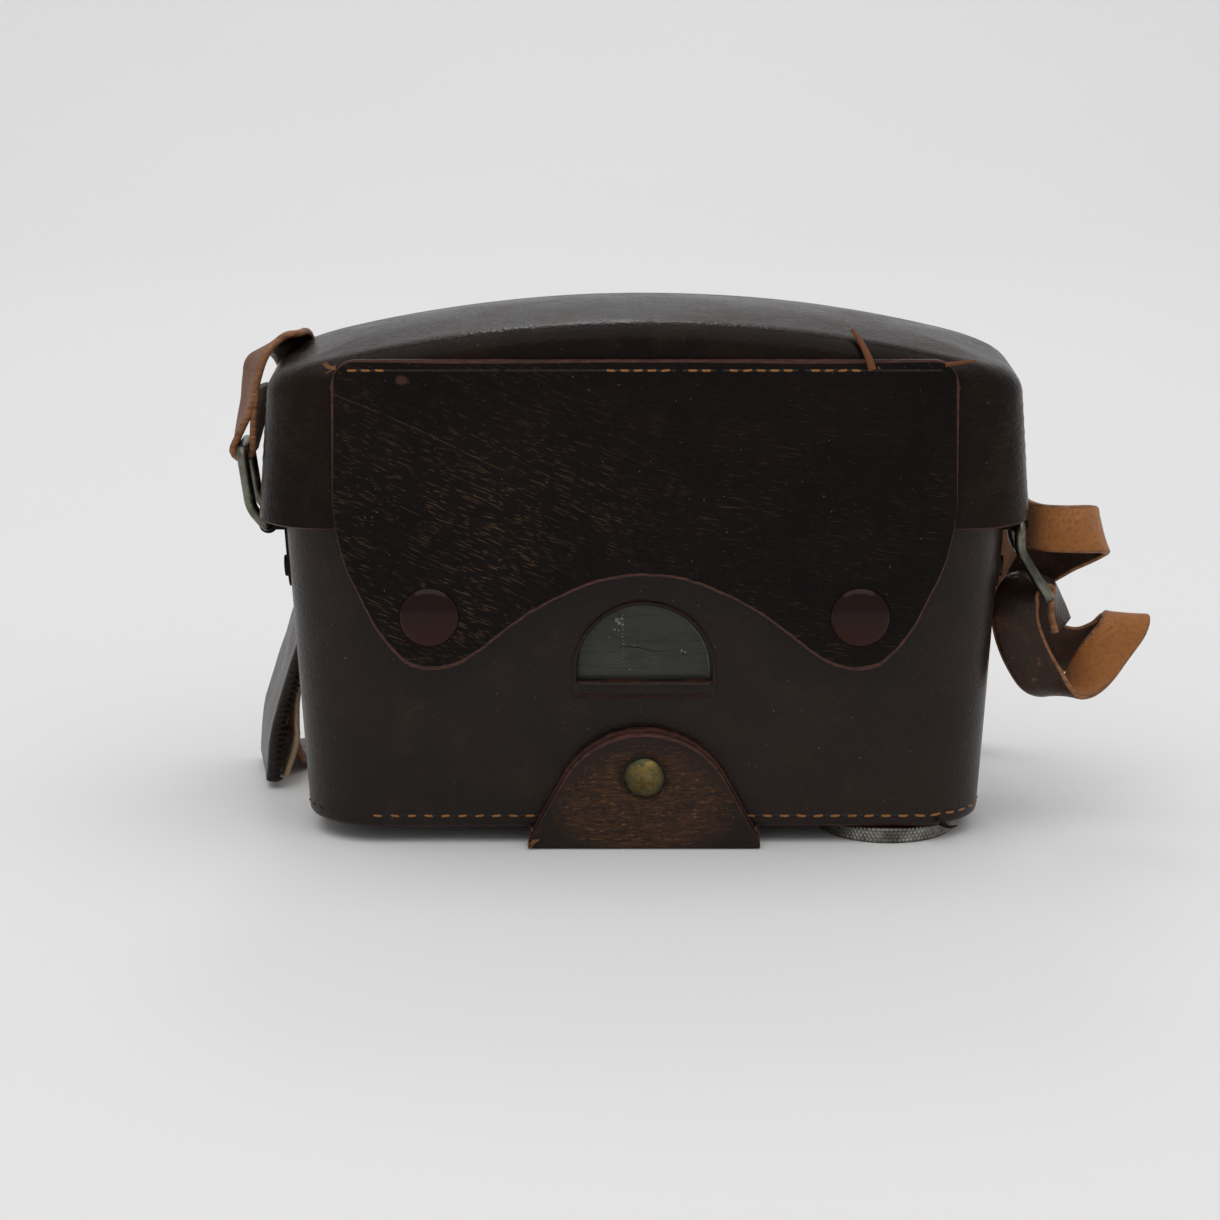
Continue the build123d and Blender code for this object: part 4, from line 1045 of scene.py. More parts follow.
def flapFace(z):
    # distance of the flap's outer face from the middle plane
    lid = lidSizes
    f = max(0.0, min(1.0, (z - lid["low"]) / (lid["crown"] - lid["low"])))
    soft = lid["rimY"] - (lid["rimY"] - lid["topY"]) * f
    hang = 1 / (1 + math.exp((z - 96.0) * 2.2))
    return soft + flapSizes["thick"] + flapSizes["gap"] * hang


def flapFold(x, z):
    # shallow folds of the hanging leather, always outwards
    v = Vector((x / 26 + z / 60, z / 9, 0.5))
    fold = abs(noise.noise(v)) * 0.5 + abs(noise.noise(v * 2.3)) * 0.2
    droop = max(0.0, min(1.0, (95 - z) / 12))
    corner = max(0.0, (z - 80) / 20) * 0.15 * noise.noise(Vector((x / 8, z / 6, 3)))
    return fold * droop * 0.8 + max(0.0, corner)


def buildFlap():
    s = flapSizes
    edge = [(-x, z) for x, z in reversed(flapEdge)] + flapEdge[1:]
    edge = evenly(smoothLine([(x, 0, z) for x, z in edge], 12), 221)
    rowCount = 84
    rows = []
    for i in range(rowCount + 1):
        f = i / rowCount
        row = []
        for j, low in enumerate(edge):
            x0 = -s["half"] + 2 * s["half"] * j / (len(edge) - 1)
            over = max(0.0, abs(x0) - (s["half"] - s["corner"]))
            z0 = s["top"] - (s["corner"] - math.sqrt(max(0.0, s["corner"] ** 2 - over ** 2)))
            x = x0 + (low.x - x0) * f
            z = z0 + (low.z - z0) * f
            frayed = 0.22 * noise.noise(Vector((x / 2.2, z / 2.2, 7))) if f > 0.97 else 0
            row.append((x, -(flapFace(z) + flapFold(x, z)), z + frayed))
        rows.append(row)
    last = len(edge) - 1
    flap = skin("flapSkin", rows, [flapLeather, liningSuede, redEdge],
                lambda i, j: 2 if i == 0 or i > rowCount - 2 or j == 0 or j == last - 1 else 0, False)
    faceTowards(flap, len(flap.data.polygons) // 2, -1)
    sheetSolid(flap, s["thick"] - 0.1, 0.4, 3)
    return bent(flap, ("lid", "flap"), (0, -0.0269, 0.0972), (0, -0.0269, 0.0952),
                ["lid_flap", "flap_band"], "flap_leather")


buildFlap()
print("flap made")


# stitches and knurling are placed by one node group: each point brings its own directions

def repeatGroup(shape):
    group = bpy.data.node_groups.new("repeat_" + shape, "GeometryNodeTree")
    face = group.interface
    face.new_socket("Geometry", in_out="INPUT", socket_type="NodeSocketGeometry")
    names = {}
    for label, kind, value in (("Length", "NodeSocketFloat", 1.75), ("Thickness", "NodeSocketFloat", 0.5),
                               ("Rise", "NodeSocketFloat", 0.2), ("Sink", "NodeSocketFloat", 0.3),
                               ("Keep", "NodeSocketFloat", 1.0), ("Unevenness", "NodeSocketFloat", 0.1),
                               ("Seed", "NodeSocketInt", 1), ("Material", "NodeSocketMaterial", None)):
        socket = face.new_socket(label, in_out="INPUT", socket_type=kind)
        if value is not None:
            socket.default_value = value
        names[label] = socket.identifier
    face.new_socket("Geometry", in_out="OUTPUT", socket_type="NodeSocketGeometry")

    def node(kind, settings=None, links=None):
        made = group.nodes.new(kind)
        for key, value in (settings or {}).items():
            setattr(made, key, value)
        for key, value in (links or {}).items():
            if isinstance(value, bpy.types.NodeSocket):
                group.links.new(value, made.inputs[key])
            else:
                made.inputs[key].default_value = value
        return made

    def times(a, b):
        return node("ShaderNodeMath", {"operation": "MULTIPLY"}, {0: a, 1: b}).outputs[0]

    def vector(x, y, z):
        return node("ShaderNodeCombineXYZ", None, {0: x, 1: y, 2: z}).outputs[0]
    given = node("NodeGroupInput").outputs
    if shape == "stitch":
        half = times(given["Length"], 0.5)
        low = times(given["Sink"], -1.0)
        arc = node("GeometryNodeCurveQuadraticBezier", None, {
            "Resolution": 6, "Start": vector(times(half, -1.0), 0.0, low),
            "Middle": vector(0.0, 0.0, times(given["Rise"], 2.0)), "End": vector(half, 0.0, low)})
        ring = node("GeometryNodeCurvePrimitiveCircle", None, {
            "Resolution": 7, "Radius": times(given["Thickness"], 0.5)})
        solid = node("GeometryNodeCurveToMesh", None, {
            0: arc.outputs[0], 1: ring.outputs[0], "Fill Caps": True})
    else:
        solid = node("GeometryNodeMeshCone", None, {"Vertices": 4, "Radius Top": 0.0,
                     "Radius Bottom": times(given["Length"], 0.5), "Depth": given["Rise"]})
    seen = node("FunctionNodeRandomValue", {"data_type": "BOOLEAN"}, {
        "Probability": given["Keep"], "Seed": given["Seed"]})
    along = node("GeometryNodeInputNamedAttribute", {"data_type": "FLOAT_VECTOR"}, {"Name": "along"})
    out = node("GeometryNodeInputNamedAttribute", {"data_type": "FLOAT_VECTOR"}, {"Name": "out"})
    jitter = node("FunctionNodeRandomValue", {"data_type": "FLOAT_VECTOR"}, {
        0: (-1.0, -1.0, -1.0), 1: (1.0, 1.0, 1.0), "Seed": given["Seed"]})
    uneven = node("ShaderNodeVectorMath", {"operation": "SCALE"}, {
        0: jitter.outputs[0], "Scale": given["Unevenness"]})
    leaning = node("ShaderNodeVectorMath", {"operation": "ADD"}, {0: along.outputs[0], 1: uneven.outputs[0]})
    turn = node("FunctionNodeAxesToRotation", {"primary_axis": "Z", "secondary_axis": "X"}, {
        0: out.outputs[0], 1: leaning.outputs[0]})
    points = node("GeometryNodeMeshToPoints", None, {
        0: given["Geometry"], "Selection": seen.outputs["Value"]})
    placed = node("GeometryNodeInstanceOnPoints", None, {
        "Points": points.outputs[0], "Instance": solid.outputs[0], "Rotation": turn.outputs[0]})
    real = node("GeometryNodeRealizeInstances", None, {0: placed.outputs[0]})
    smooth = node("GeometryNodeSetShadeSmooth", None, {0: real.outputs[0], "Shade Smooth": shape == "stitch"})
    dressed = node("GeometryNodeSetMaterial", None, {0: smooth.outputs[0], "Material": given["Material"]})
    node("NodeGroupOutput", None, {0: dressed.outputs[0]})
    return group, names


stitchGroup = repeatGroup("stitch")
knurlGroup = repeatGroup("knurl")


def repeat(name, places, kind, values, material, body, replaced=(), slot=None):
    # places are (point, along, out)
    group, names = kind
    mesh = bpy.data.meshes.new(name)
    mesh.from_pydata([tuple(Vector(p[0]) * mm) for p in places], [], [])
    for label, index in (("along", 1), ("out", 2)):
        attribute = mesh.attributes.new(label, "FLOAT_VECTOR", "POINT")
        attribute.data.foreach_set("vector", [c for p in places for c in Vector(p[index]).normalized()])
    obj = bpy.data.objects.new(name, mesh)
    bpy.context.scene.collection.objects.link(obj)
    live = obj.modifiers.new("repeat", "NODES")
    live.node_group = group
    for label, value in values.items():
        if label in ("Length", "Thickness", "Rise", "Sink"):
            value = value * mm
        live[names[label]] = value
    live[names["Material"]] = material
    settle(obj)
    tidyMesh(obj, 50 if kind is stitchGroup else 20)
    if not obj.data.materials:
        obj.data.materials.append(material)
    return finished(obj, body, replaced, slot)


def rowPlaces(line, pitch, outward):
    # points at the pitch along a line, with the way it runs and the way out of the surface
    count = max(2, int(lineLength(line) / pitch) + 1)
    points = evenly(line, count)
    out = []
    for i, p in enumerate(points):
        along = points[min(i + 1, count - 1)] - points[max(i - 1, 0)]
        out.append((p, along, outward(p)))
    return out


def caseOutward(p):
    corner = caseSizes["radius"]
    past = [max(0.0, abs(at) - (half - corner)) * math.copysign(1, at)
            for at, half in ((p.x, caseHalf(p.z)), (p.y, caseSizes["halfY"]))]
    v = Vector((*past, 0))
    return v.normalized() if v.length > 0 else Vector((0, -1, 0))


stitchSizes = {"base": {"Length": 2.0, "Thickness": 0.52, "Rise": 0.2, "Sink": 0.28, "Keep": 0.97,
                        "Unevenness": 0.12, "Seed": 4},
               "hole": {"Length": 1.5, "Thickness": 0.72, "Rise": -0.06, "Sink": 0.28, "Keep": 1.0,
                        "Unevenness": 0.06, "Seed": 5},
               "flap": {"Length": 1.9, "Thickness": 0.5, "Rise": 0.2, "Sink": 0.24, "Keep": 0.95,
                        "Unevenness": 0.1, "Seed": 6},
               "tab": {"Length": 1.1, "Thickness": 0.42, "Rise": 0.06, "Sink": 0.3, "Keep": 1.0,
                       "Unevenness": 0.1, "Seed": 7},
               "pad": {"Length": 2.7, "Thickness": 0.62, "Rise": 0.22, "Sink": 0.25, "Keep": 1.0,
                       "Unevenness": 0.12, "Seed": 8}}


def buildStitches():
    level, pitch = 6.0, 3.45
    loop = [Vector((x, y, level)) for x, y in casePlan(0, level)]
    loop.append(loop[0])
    count = int(lineLength(loop) / pitch)
    points = evenly(loop, count + 1)[:-1]
    places, holes, bare = [], [], []
    for i, p in enumerate(points):
        along = points[(i + 1) % count] - points[i - 1]
        place = (p, along, caseOutward(p))
        dark = p.x < -57 and p.y < 12
        (bare if dark else places).append(place)
        between = (p + points[(i + 1) % count]) / 2
        holes.append((between, along, caseOutward(between)))
    repeat("baseStitches", places, stitchGroup, stitchSizes["base"], goldThread, "case",
           ["base_stitching"], "thread")
    repeat("baseStitchesDark", bare, stitchGroup, stitchSizes["base"], darkThread, "case")
    # near-black marks between the stitches: painted shade of the stitch holes
    repeat("baseStitchHoles", holes, stitchGroup, stitchSizes["hole"], holeShade, "case")

    def seamOut(p):
        return Vector((0, -1, 0.06))
    high, half = flapSizes["seam"], flapSizes["seamHalf"]
    seam = [Vector((x, -(flapFace(high) + flapFold(x, high)), high))
            for x in [-half + 2 * half * i / 60 for i in range(61)]]
    gold, dull, holes = [], [], []
    for i, place in enumerate(rowPlaces(seam, 2.65, seamOut)):
        x = place[0].x
        shown = -8 < x < 43.6 or x < -52.6 or -47 < x < -43.4
        (gold if shown and i % 11 != 5 else dull).append(place)
        holes.append((place[0] + Vector((1.32, 0.03, 0)), place[1], place[2]))
    repeat("flapStitches", gold, stitchGroup, stitchSizes["flap"], goldThread, "lid",
           ["flap_stitching"], "thread")
    repeat("flapStitchesDark", dull, stitchGroup, stitchSizes["flap"], darkThread, "lid")
    # near-black marks beside the flap's stitches: painted shade of the stitch holes
    repeat("flapStitchHoles", holes[:-1], stitchGroup, stitchSizes["hole"], holeShade, "lid")


buildStitches()
print("stitches made")


# press studs

def buildCaps():
    profile = [(0, 2.0), (1.6, 1.94), (3.0, 1.76), (4.2, 1.46), (5.1, 1.12), (5.65, 0.78), (5.95, 0.5),
               (6.06, 0.26), (6.02, 0.05), (5.6, -0.25), (0, -0.25)]
    for name, x, replaced in (("capLeft", -43.2, ["snap_caps"]), ("capRight", 43.2, [])):
        cap = lathe(name, profile, (x, -28.62, 48.8), "-y", [capEnamel], 72, 70, 0.012)
        finished(cap, "flap", replaced, "cap_enamel")


buildCaps()


# tongue, tab and cover

tabSizes = {"half": 22.6, "low": 3.5, "knee": 14.9, "kneeHalf": 16.5, "radius": 18.7, "centre": 6.1,
            "thick": 1.55, "footHalf": 23.1, "widest": 23.6, "flare": 0.535, "stud": 15.1, "seat": 4.6,
            "seatEdge": 0.7, "press": 0.7}


def tabLine():
    s = tabSizes
    low = [(-s["half"], s["low"]), (-20.6, 7.3), (-18.6, 11.0), (-s["kneeHalf"], s["knee"])]
    start = math.atan2(s["knee"] - s["centre"], -s["kneeHalf"])
    turns = [start + (math.pi / 2 - start) * i / 14 for i in range(1, 15)]
    left = low + [(s["radius"] * math.cos(a), s["centre"] + s["radius"] * math.sin(a)) for a in turns]
    whole = left + [(-x, z) for x, z in reversed(left[:-1])]
    return evenly([(x, 0, z) for x, z in whole], 121)


def tabLayer(name, y, floor, nose, margin, recessed, replaced):
    # under the base, round the fold at the nose, then up to the outline
    s = tabSizes
    outline = tabLine()
    across = len(outline) - 1
    bend = -y - nose
    top = max(s["low"], floor + bend + 0.05)

    def low(y, z):
        return levelRow(min(s["widest"], s["half"] + s["flare"] * (top - z)), y, z, across)
    rows = [levelRow(s["footHalf"], -y0, floor, across) for y0 in (12, 15, 18, 21, nose - 1, nose)]
    for k in range(1, 7):
        a = math.radians(90 * k / 6)
        rows.append(low(-(nose + bend * math.sin(a)), floor + bend * (1 - math.cos(a))))
    for k in range(1, 4):
        rows.append(low(y, floor + bend + (top - floor - bend) * k / 4))
    narrower = 1 - margin / 24
    for i in range(31):
        f = i / 30
        row = []
        for j, p in enumerate(outline):
            endZ = max(top, p.z - margin * (p.z - s["low"]) / 21)
            x0 = outline[0].x * narrower * (1 - 2 * j / across)
            x = x0 + (p.x * narrower - x0) * f
            z = top + (endZ - top) * f
            near = (math.hypot(x, z - s["stud"]) - s["seat"]) / s["seatEdge"]
            press = s["press"] * (1 - min(1, max(0, near))) if recessed else 0
            inside = max(0.0, min(1.0, (z - top) / 3))
            wave = 0.12 * inside * noise.noise(Vector((x / 6, z / 6, 2)))
            ragged = 0.12 * f * inside * noise.noise(Vector((x / 3, z / 3, 8)))
            row.append((x, y + press + wave, z + ragged))
        rows.append(row)
    last = len(rows) - 2
    layer = skin(name, rows, [tabLeather, liningSuede, redEdge],
                 lambda i, j: 2 if i == last or (i > 16 and j in (0, across - 1)) else 0, False)
    faceTowards(layer, len(layer.data.polygons) - 60, -1)
    sheetSolid(layer, s["thick"], 0.35, 3)
    bent(layer, ("case", "tab"), (0, -0.0278, 0.0018), (0, -0.0278, 0.0058), replaced, "tab_leather")
    return outline


def buildTab():
    tabLayer("tabInner", -26.2, 1.65, 25.4, -0.2, False, ["tab_inner"])
    outline = tabLayer("tabOuter", -27.8, 0.05, 26.5, 0.3, True, ["tab_outer"])
    # a row of dark stitches inside the edge
    middle = Vector((0, 0, 9.5))
    inset = [p + (middle - p).normalized() * 3.0 for p in outline[6:-6]]
    line = [Vector((p.x, -27.86, p.z)) for p in inset if p.z > 5.5]
    places = rowPlaces(line, 2.2, lambda p: Vector((0, -1, 0)))
    repeat("tabStitches", places, stitchGroup, stitchSizes["tab"], tabThread, "tab",
           ["tab_stitching"], "thread")
    # near-black marks beside the tab's stitches: painted shade of the stitch holes
    holes = [(p + along.normalized() * 1.1, along, out) for p, along, out in places[:-1]]
    holeValues = {**stitchSizes["hole"], "Length": 0.7, "Rise": -0.14, "Seed": 15}
    repeat("tabStitchHoles", holes, stitchGroup, holeValues, holeShade, "tab")
    profile = [(0, 1.95), (1.3, 1.88), (2.5, 1.6), (3.4, 1.1), (3.85, 0.62), (4.0, 0.45), (4.1, 0.3),
               (4.05, 0.05), (3.8, -0.2), (0, -0.2)]
    cap = lathe("tabCap", profile, (0, -27.3, tabSizes["stud"]), "-y", [brass], 64, 70, 0.02)
    finished(cap, "tab", ["tab_snap_cap"], "tab_brass")
    # a near-black ring round the stud, set a little high so that a crescent shows above it: painted shadow in the
    # stud's recess
    profile = [(3.7, -0.2), (3.7, 0.1), (4.5, 0.12), (4.85, -0.2)]
    seat = lathe("tabStudRecessShadow", profile, (0, -27.05, 15.35), "-y", [holeShade], 64, 60)
    finished(seat, "tab")


buildTab()
print("tab made")


tongueSizes = {"half": 22.8, "near": -12, "far": 21, "under": 0.1, "over": 3.15}


def buildTongue():
    s = tongueSizes
    depth = s["far"] - s["near"]
    rows = []
    for x, y, z in levelRow(s["half"], 0, 0, 40):
        row = [(x, s["near"] + depth * j / 24, s["under"]) for j in range(25)]
        row += [(x, s["far"] - depth * j / 24, s["over"]) for j in range(25)]
        rows.append([drift(p, 12, 0.05, 2) for p in row])
    strip = skin("tongueStrip", rows, [tabLeather], None, True, "capped")
    finished(strip, "case", ["tongue"], "tab_leather")
    # the far end of the strip turns up and holds the cover of the lens opening
    line = [(20.8, 0.12), (22.5, 0.1), (24.4, 0.14), (25.9, 0.7), (26.6, 2.0), (26.8, 3.5), (26.8, 5.2),
            (26.8, 8.4)]
    path = evenly(smoothLine([(0, y, z) for y, z in line], 8), 26)
    fold = skin("coverFold", [levelRow(s["half"], p.y, p.z, 50) for p in path],
                [tabLeather, liningSuede, redEdge], None, False)
    faceTowards(fold, len(fold.data.polygons) - 20, 1)
    sheetSolid(fold, 2.1, 0.3, 2)
    bent(fold, ("case", "drop_front"), (0, 0.0268, 0.0018), (0, 0.0268, 0.0062), (), "tab_leather")


buildTongue()

coverSizes = {"half": 36.0, "low": 8.0, "top": 57.5, "corner": 9.0, "panel": 27.0, "panelLow": 17.0,
              "panelTop": 49.0, "panelCorner": 5.0}


def buildCover():
    s = coverSizes
    middle, tall = (s["low"] + s["top"]) / 2, (s["top"] - s["low"]) / 2
    panelMiddle, panelTall = (s["panelLow"] + s["panelTop"]) / 2, (s["panelTop"] - s["panelLow"]) / 2

    def row(share, y):
        # share is 0 at the outline, 1 at the panel's foot and 2 on the panel's middle line
        if share <= 1:
            hx = s["half"] + (s["panel"] - s["half"]) * share
            hz = tall * (1 - share) + panelTall * share
            r = s["corner"] + (s["panelCorner"] - s["corner"]) * share
            c = middle + (panelMiddle - middle) * share
        else:
            f = share - 1
            hz = panelTall * (1 - f)
            hx = s["panel"] - panelTall * f
            r = s["panelCorner"] * (1 - f)
            c = panelMiddle
        return [drift((x, y, z + c), 26, 0.12, 6) for x, z in plan(hx, hz, r, 50, 30, 12)]
    section = [(2, 28.6), (1.6, 28.6), (1.25, 28.6), (1.16, 28.2), (1.13, 27), (1.1, 24.8), (0.9, 24.6),
               (0.5, 24.6), (0.03, 24.6), (0.0, 24.9), (0.0, 26.4), (0.03, 26.75), (0.2, 26.8),
               (0.6, 26.8), (0.9, 26.85), (0.97, 27.1), (1.0, 27.8), (1.02, 29.6), (1.05, 30.4),
               (1.1, 30.75), (1.25, 30.85), (1.6, 30.95), (2, 31.0)]
    cover = skin("frontCover", [row(*place) for place in section], [coverLeather, liningSuede, redEdge],
                 lambda i, j: 1 if i < 8 else 2 if i < 11 else 0, True, "open", 60)
    finished(cover, "drop_front", ["front_cover"], "moulded_leather")
    loop = [Vector((x, 26.86, z)) for x, z in lensOutline(30, 18, 10)]
    loop.append(loop[0])
    places = rowPlaces(loop, 3.0, lambda p: Vector((0, 1, 0)))[:-1]
    repeat("coverStitches", places, stitchGroup, {**stitchSizes["base"], "Seed": 21}, goldThread,
           "drop_front", ["cover_stitching"], "thread")


buildCover()
print("cover made")


# knurled wheel under the base

wheelSizes = {"radius": 13.92, "height": 3.3, "pitch": 0.86, "rows": 4}
knurlSizes = {"Length": 0.98, "Thickness": 0.4, "Rise": 0.3, "Sink": 0.0, "Keep": 1.0, "Unevenness": 0.02,
              "Seed": 2}


def buildWheel():
    s = wheelSizes
    profile = [(3.2, 0.3), (3.5, 0.02), (11.0, 0.02), (11.4, 0.2), (12.0, 0.2), (12.4, 0.02), (13.3, 0.02),
               (13.75, 0.25), (s["radius"], 0.5), (s["radius"], 2.8), (13.75, 3.05), (13.3, 3.3), (6.4, 3.3),
               (6.04, 3.5), (6.04, 6.7), (5.7, 7.0), (3.6, 7.0), (3.2, 6.8), (3.2, 0.3)]
    x, y = baseSizes["wheelX"], baseSizes["wheelY"]
    wheel = lathe("knurledWheel", profile, (x, y, 0), "z", [wheelSteel], 96, 30)
    finished(wheel, "retaining_screw", ["knurled_wheel"], "screw_steel")
    count = int(2 * math.pi * s["radius"] / s["pitch"])
    places = []
    for level in range(s["rows"]):
        z = 0.62 + level * (s["height"] - 1.2) / (s["rows"] - 1)
        for i in range(count):
            a = 2 * math.pi * (i + 0.5 * (level % 2)) / count
            out = Vector((math.cos(a), math.sin(a), 0))
            places.append((Vector((x, y, z)) + out * (s["radius"] - 0.03), Vector((0, 0, 1)), out))
    repeat("wheelKnurl", places, knurlGroup, knurlSizes, wheelSteel, "retaining_screw")


buildWheel()
print("wheel made")


# bent wire rings

def roundedPath(corners, radius, steps=6):
    corners = [Vector(c) for c in corners]
    out = []
    for i, c in enumerate(corners):
        a, b = corners[i - 1], corners[(i + 1) % len(corners)]
        u, v = (a - c).normalized(), (b - c).normalized()
        reach = min(radius, (a - c).length * 0.45, (b - c).length * 0.45)
        p, q = c + u * reach, c + v * reach
        for k in range(steps + 1):
            t = k / steps
            out.append(p * (1 - t) ** 2 + c * 2 * t * (1 - t) + q * t * t)
    return out


def buildRing(name, pivot, elbow, bar, body, node):
    legs = 6.9
    corners = [(pivot[0], -legs, pivot[1]), (elbow[0], -legs, elbow[1]), (bar[0], -legs, bar[1]),
               (bar[0], legs, bar[1]), (elbow[0], legs, elbow[1]), (pivot[0], legs, pivot[1])]
    path = roundedPath(corners, 1.8)
    path = evenly(path + path[:1], 121)[:-1]
    ring = tube(name, path, 1.2, ringSteel, 14, True)
    finished(ring, body, [node], "ring_steel")


buildRing("ringRight", (77.3, 62.9), (77.3, 57.9), (83.66, 47.72), "right_ring", "ring_right")
buildRing("ringLeft", (-77.3, 62.9), (-80.51, 66.73), (-82.18, 78.61), "left_ring", "ring_left")
print("rings made")


# strap: each side is sampled once and then cut into the pieces that ride or bend

strapSizes = {"width": 10.0, "thick": 1.5}
strapLook = [strapGrain, strapSuede, strapEdge]
leftLook = [strapGrain, wornSuede, strapEdge]
rightStations = [((87.4, -0.5, 40.6), (0.9, -0.42, 0.25)), ((86.2, -0.4, 44.2), (0.93, -0.36, 0.2)),
                 ((85.5, -0.1, 47.4), (0.97, -0.2, 0.15)), ((85.1, 0, 49.1), (0.7, 0, 0.7)),
                 ((83.66, 0, 49.7), (0, 0, 1)),
                 ((82.1, -0.1, 49.9), (-0.1, -0.05, 1)), ((80.1, -0.6, 49.9), (-0.25, -0.3, 0.95)),
                 ((78.2, -1.3, 48.6), (-0.6, -0.7, 0.45)), ((77.3, -1.9, 45.6), (-0.35, -0.93, 0.1)),
                 ((77.5, -2.4, 41.4), (-0.2, -1, 0)), ((79.3, -2.8, 36.0), (-0.15, -1, -0.05)),
                 ((82.2, -2.4, 30.4), (-0.15, -0.95, -0.3)), ((85.4, -1.2, 27.0), (-0.1, -0.6, -0.8)),
                 ((89.2, 0.2, 26.0), (0.1, 0, -1)), ((92.9, 1.0, 29.0), (0.45, 0.75, -0.6)),
                 ((96.2, 1.5, 33.4), (0.15, 1, -0.1)), ((99.4, 2.2, 37.6), (0, 1, 0.05)),
                 ((101.0, 3.6, 40.0), (-0.1, 0.8, -0.5)), ((101.5, 6.4, 40.9), (-0.1, 0, -1)),
                 ((100.6, 9.2, 38.8), (0, -0.8, -0.5)), ((97.6, 11.0, 34.8), (0, -1, -0.1)),
                 ((92.6, 11.6, 32.6), (0, -1, 0)), ((87.0, 11.6, 33.6), (0, -1, 0)),
                 ((82.6, 11.4, 38.4), (0, -1, 0)), ((81.0, 11.2, 44.6), (0, -1, 0)),
                 ((82.6, 10.8, 50.0), (0, -0.95, 0.2)), ((87.4, 9.6, 53.6), (-0.05, -0.85, 0.45)),
                 ((92.2, 7.8, 56.6), (-0.2, -0.8, 0.4)), ((95.0, 4.8, 59.2), (-0.8, -0.55, 0)),
                 ((94.2, 1.4, 60.6), (-0.85, 0.45, -0.3)), ((91.4, -1.0, 61.2), (-0.4, 0.9, -0.15)),
                 ((87.4, -1.9, 61.4), (-0.05, 1, 0)),
                 ((82.8, -0.6, 61.4), (0.35, 0.93, 0)), ((80.4, 3.6, 61.4), (0.95, 0.3, 0)),
                 ((80.0, 12, 60.6), (1, 0, 0)), ((79.4, 20, 57.8), (0.95, 0.25, 0)),
                 ((77.4, 27, 50.8), (0.85, 0.5, 0)),
                 ((74.8, 33.5, 42.4), (0.9, 0.35, 0)), ((73.8, 40, 31), (1, 0.1, 0)),
                 ((73.6, 46, 17.4), (1, 0, 0)), ((73.2, 50, 7), (0.85, 0.1, -0.5)),
                 ((69.8, 51, 2.0), (0.3, 0, -0.95)), ((62, 51, 1.15), (0, 0, -1)),
                 ((40, 51, 1.1), (0, 0, -1)),
                 ((8, 51, 1.1), (0, 0, -1)), ((-24, 51, 1.1), (0, 0, -1)), ((-40, 51, 1.2), (0, -0.1, -1)),
                 ((-47, 51, 3.2), (0, -0.8, -0.6)), ((-54, 51, 5.6), (0, -1, 0.1)),
                 ((-61, 51, 3.2), (0, -0.7, 0.8)), ((-67, 50.8, 1.3), (0, -0.1, 1)),
                 ((-71, 50, 1.2), (0, 0, 1)), ((-76, 47, 1.6), (0, -0.1, 1))]
leftStations = [((-78.45, 0, 91.0), (-1, 0.2, 0)), ((-79.0, 0, 87), (-1, 0.2, 0)),
                ((-79.7, 0, 82.6), (-1, 0.1, 0)),
                ((-80.35, 0, 78.8), (-1, 0, 0)), ((-80.85, 0, 77.3), (-0.7, 0, 0.7)),
                ((-82.18, 0, 76.75), (0, 0, 1)), ((-83.5, 0, 77.3), (0.7, 0, 0.7)),
                ((-84.0, 0, 78.8), (1, 0, 0)), ((-82.6, -0.1, 83.2), (1, 0.15, -0.3)),
                ((-81.1, -0.1, 87.6), (1, 0.3, -0.25)), ((-80.4, 0.4, 92.2), (0.95, 0.35, -0.25)),
                ((-79.3, 1.6, 96.2), (0.85, 0.35, -0.45)), ((-77.1, 4.2, 98.4), (0.65, 0.1, -0.8)),
                ((-75.1, 8.4, 98.3), (0.5, -0.05, -0.87)), ((-74.2, 13.2, 98.0), (0.45, -0.25, -0.85)),
                ((-73.6, 18.0, 96.6), (0.45, -0.5, -0.75)), ((-72.8, 22.6, 93.6), (0.4, -0.75, -0.5)),
                ((-71.6, 26.6, 88.5), (0.3, -0.95, -0.2)), ((-70.4, 29.0, 80), (0.15, -1, 0)),
                ((-69.4, 30.3, 70), (0.1, -1, 0)), ((-68.8, 30.8, 61), (0.1, -1, 0)),
                ((-68.9, 30.8, 50), (0.4, -0.9, 0)), ((-69.9, 30.6, 42), (0.85, -0.5, 0)),
                ((-71.0, 30.5, 34), (1, -0.1, 0)), ((-74.6, 30.5, 22), (1, 0, 0)),
                ((-75.9, 31, 14), (1, 0, 0)), ((-76.0, 34, 6.5), (0.9, 0.2, 0.3)),
                ((-76.2, 40, 2.2), (0.3, 0.2, 1)), ((-76, 47, 1.6), (0, -0.1, 1))]


